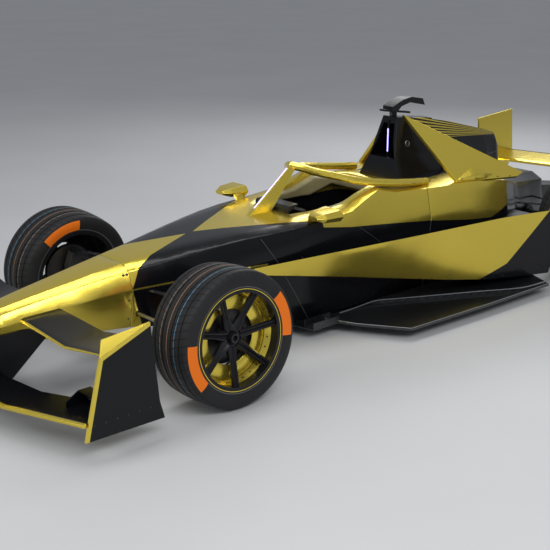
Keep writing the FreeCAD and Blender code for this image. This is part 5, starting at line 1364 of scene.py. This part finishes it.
def belts():
    """Shoulder, lap and crotch belts that meet in the round buckle on the seat."""
    back_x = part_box("seat")[0].x
    buckle = BUCKLE_PLACE
    straps = []
    for side in (1, -1):
        shoulder = [(back_x + 0.012, side * 0.085, 0.508), (back_x + 0.034, side * 0.085, 0.514),
                    (back_x + 0.084, side * 0.082, 0.450), (back_x + 0.118, side * 0.074, 0.340),
                    (back_x + 0.150, side * 0.058, 0.262), (back_x + 0.205, side * 0.034, 0.232),
                    (buckle.x - 0.026, side * 0.018, buckle.z)]
        straps.append(ribbon(smooth_path(shoulder, 8), (0, 1, 0), 0.050, STRAP))
        lap = [(back_x + 0.120, side * 0.208, 0.215), (back_x + 0.160, side * 0.180, 0.232),
               (back_x + 0.210, side * 0.100, 0.226), (buckle.x - 0.006, side * 0.030, buckle.z)]
        straps.append(ribbon(smooth_path(lap, 8), (1, 0, 0.2), 0.046, STRAP))
    crotch = [(buckle.x + 0.022, 0, buckle.z), (buckle.x + 0.070, 0, 0.212), (buckle.x + 0.130, 0, 0.204),
              (buckle.x + 0.165, 0, 0.190)]
    straps.append(ribbon(smooth_path(crotch, 6), (0, 1, 0), 0.046, STRAP))
    piece("belts", joined(straps), "belt", 40)
    tilt = Matrix.Translation(buckle + Vector((0, 0, 0.003))) @ Matrix.Rotation(math.radians(6), 4, "Y")
    piece("belt_buckle", in_place(turned_part(BUCKLE, 28), tilt), "steel")
    adjusters = []
    for side in (1, -1):
        plate = prism([(y, z, 0) for y, z in rounded_outline(0.029, 0.017, 0.004)], (0, 0, 0.004))
        face = facing((back_x + 0.1255, side * 0.074, 0.345), (0.97, 0, 0.26))
        adjusters.append(in_place(plate, face))
    piece("belt_adjusters", joined(adjusters), "steel")


# Lights, cameras and mirrors

STRIP_LIFT = 0.0008
STRIP_THICKNESS = 0.0018
STRIP_STEP = 0.010
MIRROR_MIDDLE = (0.20, 0.392, 0.680)
MIRROR_GLASS = rounded_outline(0.060, 0.021, 0.008)
PLATFORM_STEP = ((0.235, 0.344, 0.0775), (0.150, 0.346, 0.079), (0.060, 0.350, 0.084),
                 (-0.020, 0.357, 0.0905), (-0.080, 0.378, 0.0925), (-0.160, 0.421, 0.0928),
                 (-0.366, 0.525, 0.0928), (-0.600, 0.641, 0.0928), (-0.859, 0.774, 0.0928),
                 (-1.065, 0.797, 0.0928))
FLOOR_EDGE = ((0.366, 0.346, 0.0768), (0.285, 0.528, 0.0768), (0.116, 0.774, 0.0768),
              (-0.493, 0.799, 0.0768), (-1.090, 0.806, 0.0768))


def strip_on(name, node, start, count, width):
    """Lit strip up the front of a node, laid where level lines that run back meet its surface."""
    surface = surface_of(node)
    x, y, z = start
    path = []
    for i in range(count):
        point, normal = landing(surface, (x, y, z + STRIP_STEP * i), (-1, 0, 0))
        if point is not None:
            path.append(point + normal * STRIP_LIFT)
    piece(name, ribbon(path, (0, 1, 0), width, STRIP_THICKNESS), "strip", 40)


def lit_strips():
    """Power strips on the halo's pillar and on the blade in the intake's mouth."""
    strip_on("pillar_strip", "halo", (0.75, 0, 0.672), 20, 0.009)
    strip_on("intake_strip", "airbox", (-0.30, 0, 0.850), 15, 0.010)


def mirror_plates():
    """Glass in the back of each mirror's housing."""
    surface = surface_of("mirrors")
    x, y, z = MIRROR_MIDDLE
    plates = []
    for side in (1, -1):
        point = landing(surface, (x, side * y, z), (1, 0, 0))[0]
        outline = [(point.x - 0.0012, point.y + right, z + up) for right, up in MIRROR_GLASS]
        plates.append(prism(outline, (0.002, 0, 0)))
    piece("mirror_glasses", joined(plates), "glass")


def round_eye(name, node, start, direction, radius, look):
    """Round camera eye or port let into a surface: a raised ring with dark glass in it."""
    point, normal = landing(surface_of(node), start, direction)
    if point is None:
        print("nothing to carry", name)
        return
    ring = ((0, 0.0006), (radius * 0.84, 0.0006), (radius * 0.86, 0.0024), (radius * 0.96, 0.0024),
            (radius, 0.0008), (radius, -0.004), (0, -0.004))
    glass = ((0, 0.0018), (radius * 0.5, 0.0015), (radius * 0.84, 0.0010), (radius * 0.84, -0.0004),
             (0, -0.0004))
    place = facing(point, normal)
    piece(name + "_ring", in_place(turned_part(ring, 28), place), look)
    piece(name + "_glass", in_place(turned_part(glass, 28), place), "dark_glass")


def cameras_and_ports():
    for label, x in (("front", 1.530), ("rear", 1.512)):
        for side, sign in SIDES:
            name = "nose_" + label + "_eye_" + side
            round_eye(name, "nose_cone", (x, sign * 0.40, 0.528), (0, -sign, 0), 0.007, "satin")
    for side, sign in SIDES:
        start = (-0.575, sign * 0.40, 0.900)
        round_eye("intake_port_" + side, "airbox", start, (0, -sign, 0), 0.019, "steel")
    round_eye("pod_eye", "camera_pod", (-0.20, 0, 1.075), (-1, 0, 0), 0.009, "steel")


def tail_light():
    """Black surround of the tail light."""
    low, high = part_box("rain_light")
    middle_z = (low.z + high.z) / 2
    half_y, half_z = (high.y - low.y) / 2, (high.z - low.z) / 2
    outer = rounded_outline(half_y, half_z, 0.006)
    inner = rounded_outline(half_y - 0.006, half_z - 0.006, 0.004)
    shape = bmesh.new()
    loops = []
    for outline, depth in ((outer, 0.006), (outer, 0.0004), (inner, 0.0004), (inner, 0.004)):
        loops.append([shape.verts.new((low.x + depth, y, middle_z + z)) for y, z in outline])
    for here, ahead in zip(loops, loops[1:] + loops[:1]):
        bridge(shape, here, ahead)
    piece("tail_light_frame", outward(shape), "satin")


def painted_floor_highlights():
    """Pale bead along the step of the floor's platform and round the floor's outer edge: a raised strip whose
    pale colour is a painted highlight on the dark carbon ridge and edge.
    """
    beads = [ribbon(smooth_path(PLATFORM_STEP, 4), (0, 0, 1), 0.0045, 0.009)]
    for ends in zip(FLOOR_EDGE, FLOOR_EDGE[1:]):
        beads.append(ribbon([Vector(end) for end in ends], (0, 0, 1), 0.0030, 0.006))
    piece("floor_beads", outward(both_sides(joined(beads))), "bead", 40)


# Panel screws, along the joints of the body

INWARD = (0, -1, 0)
DOWN = (0, 0, -1)
NOSE_SCREW_X = NOSE_JOINT_X + 0.014
SCREW_ROWS = (
    ("nose_screws", "nose_cone", ((NOSE_SCREW_X, 0.6, 0.30), (NOSE_SCREW_X, 0.6, 0.40)), INWARD, 0.05),
    ("tub_screws", "monocoque", ((0.62, 0.8, 0.36), (0.50, 0.8, 0.52)), INWARD, 0.06),
    ("spine_screws", "engine_cover", ((-0.90, 0.5, 0.745), (-1.46, 0.5, 0.745)), INWARD, 0.08),
    ("pod_screws", "sidepod", ((0.45, 1.0, 0.170), (-1.10, 1.0, 0.150)), INWARD, 0.13),
    ("plate_foot_screws", "front_endplate", ((1.86, 1.0, 0.165), (2.14, 1.0, 0.165)), INWARD, 0.055),
    ("tail_screws", "rear_endplate", ((-2.27, 0.8, 0.53), (-2.44, 0.8, 0.49)), INWARD, 0.055),
    ("fin_screws", "fins", ((-1.16, 0.9, 0.69), (-0.70, 0.9, 0.72)), INWARD, 0.09),
    ("halo_screws", "halo", ((-0.455, 0.292, 1.2), (-0.505, 0.292, 1.2)), DOWN, 0.024),
)


def panel_screws(skins):
    """Screws along the panels' joints and where plates meet planes, each row once a side."""
    for name, panel, path, towards, spacing in SCREW_ROWS:
        panels = {side: skins.get(panel, skins.get(panel + "_" + side)) for side, _ in SIDES}
        screw_rows(name, path, panels, towards, spacing)


# The camera, floor and lights

CAMERA_FOCUS_MM = 69.3
CAMERA_FROM_AXLE = (2.858, 4.303, 2.093)
CAMERA_YAW = -2.293
CAMERA_PITCH = -0.310
LAMPS = (
    ("key_box", (2.5, 5.0, 4.5), (0.2, 0, 0.4), (5.0, 1.6), 205),
    ("front_box", (6.0, -0.5, 3.2), (1.0, 0, 0.4), (3.0, 1.4), 80),
    ("rear_box", (-5.0, -3.0, 3.6), (-1.0, 0, 0.5), (4.0, 1.6), 100),
    ("top_box", (0.0, 0.0, 5.2), (0, 0, 0), (7.0, 1.2), 100),
)


def studio():
    """Pale floor, soft lamps and a pale sky all round."""
    shape = bmesh.new()
    bmesh.ops.create_grid(shape, x_segments=2, y_segments=2, size=90.0)
    ground = bpy.data.objects.new("studio_floor", mesh_of("studio_floor", shape))
    bpy.context.scene.collection.objects.link(ground)
    look, tree, shader = shader_of("studio_floor_paint", (0.55, 0.56, 0.57), 0.55)
    cloud = noise_of(tree, 0.8, 4.0)
    worked(tree, shader, cloud, ((0.50, 0.505, 0.51), (0.58, 0.585, 0.59)))
    ground.data.materials.append(look)
    world = bpy.data.worlds.new("studio_sky")
    world.use_nodes = True
    sky = world.node_tree.nodes["Background"]
    sky.inputs["Color"].default_value = (0.90, 0.93, 1.0, 1)
    sky.inputs["Strength"].default_value = 0.36
    bpy.context.scene.world = world
    for name, place, aim, size, power in LAMPS:
        lamp = bpy.data.lights.new(name, "AREA")
        lamp.shape = "RECTANGLE"
        lamp.size, lamp.size_y = size
        lamp.energy = power
        item = bpy.data.objects.new(name, lamp)
        item.location = place
        item.rotation_euler = (Vector(aim) - Vector(place)).to_track_quat("-Z", "Y").to_euler()
        bpy.context.scene.collection.objects.link(item)
    bpy.context.scene.view_settings.view_transform = "Standard"


def camera():
    """The photograph's view, from the car's front left and a little above a person's height."""
    lens = bpy.data.cameras.new("photo_camera")
    lens.lens = CAMERA_FOCUS_MM
    lens.sensor_width = 36.0
    lens.clip_end = 300.0
    item = bpy.data.objects.new("photo_camera", lens)
    level = math.cos(CAMERA_PITCH)
    look = Vector((math.cos(CAMERA_YAW) * level, math.sin(CAMERA_YAW) * level, math.sin(CAMERA_PITCH)))
    ahead, left, height = CAMERA_FROM_AXLE
    item.location = (FRONT_AXLE_X + ahead, left, height)
    item.rotation_euler = look.to_track_quat("-Z", "Y").to_euler()
    bpy.context.scene.collection.objects.link(item)
    bpy.context.scene.camera = item


def dress_frame():
    """Finishes on the nodes that keep their own shape."""
    looks = {
        "dark_metal": ["driveshaft_left", "driveshaft_right"],
        "steel": ["steering_rack"],
        "disc": ["brake_disc_left", "brake_disc_right"],
        "board": ["plank"],
        "satin": ["power_unit"],
        "lens": ["rain_light"],
    }
    for look, names in looks.items():
        for name in names:
            node = frame["nodes"][name]
            for slot in node.material_slots:
                slot.material = finish[look]


def dress_body():
    """Rounded and painted surfaces in place of the body's plain ones."""
    skins = {}

    def skin(node, look, radius, body="chassis", even=None, crease_deg=20, passes=14):
        skins[node] = rounded_skin(node, finish[look], radius, body)
        if even:
            evenly_shaded(skins[node], even, crease_deg, passes)

    skin("nose_cone", "body", 0.004, even=0.03, crease_deg=32, passes=40)
    skin("monocoque", "body", 0.004, even=0.03, crease_deg=26, passes=30)
    skin("engine_cover", "body", 0.004, even=0.03)
    for side in ("left", "right"):
        skin("sidepod_" + side, "sidepod", 0.003, even=0.03)
        skin("front_wing_upper_" + side, "upper_plane", 0.0015)
        skin("front_endplate_" + side, "endplate", 0.0015)
        skin("rear_endplate_" + side, "gold", 0.0015)
        skin("front_upright_" + side, "steel", 0.0015, "upright_front_" + side)
    skin("front_wing_lower", "lower_plane", 0.0015)
    skin("rear_wing", "rear_plane", 0.002)
    skin("fins", "gold", 0.003, even=0.03)
    skin("mirrors", "gold", 0.003)
    skin("halo", "gold", 0.004, even=0.02)
    skin("airbox", "tower", 0.003, even=0.02)
    skin("camera_pod", "satin", 0.002)
    skin("steering_column", "carbon", 0.002)
    skin("seat", "carbon", 0.003)
    skin("floor", "floor_carbon", 0.0015)
    skin("crash_structure", "carbon", 0.003)
    skin("front_suspension", "carbon", 0.001)
    skin("rear_suspension", "carbon", 0.001)
    skin("rear_uprights", "dark_metal", 0.0015)
    return skins


camera()
studio()
dress_frame()
body_skins = dress_body()
for corner_name in TYRES:
    tyre(corner_name)
    rim(corner_name)
    wheel_details(corner_name)
steering_details()
seat_pads()
headrest()
belts()
lit_strips()
mirror_plates()
cameras_and_ports()
tail_light()
painted_floor_highlights()
panel_screws(body_skins)
for pattern in (small_screw, rim_bolt):
    bpy.data.objects.remove(pattern)
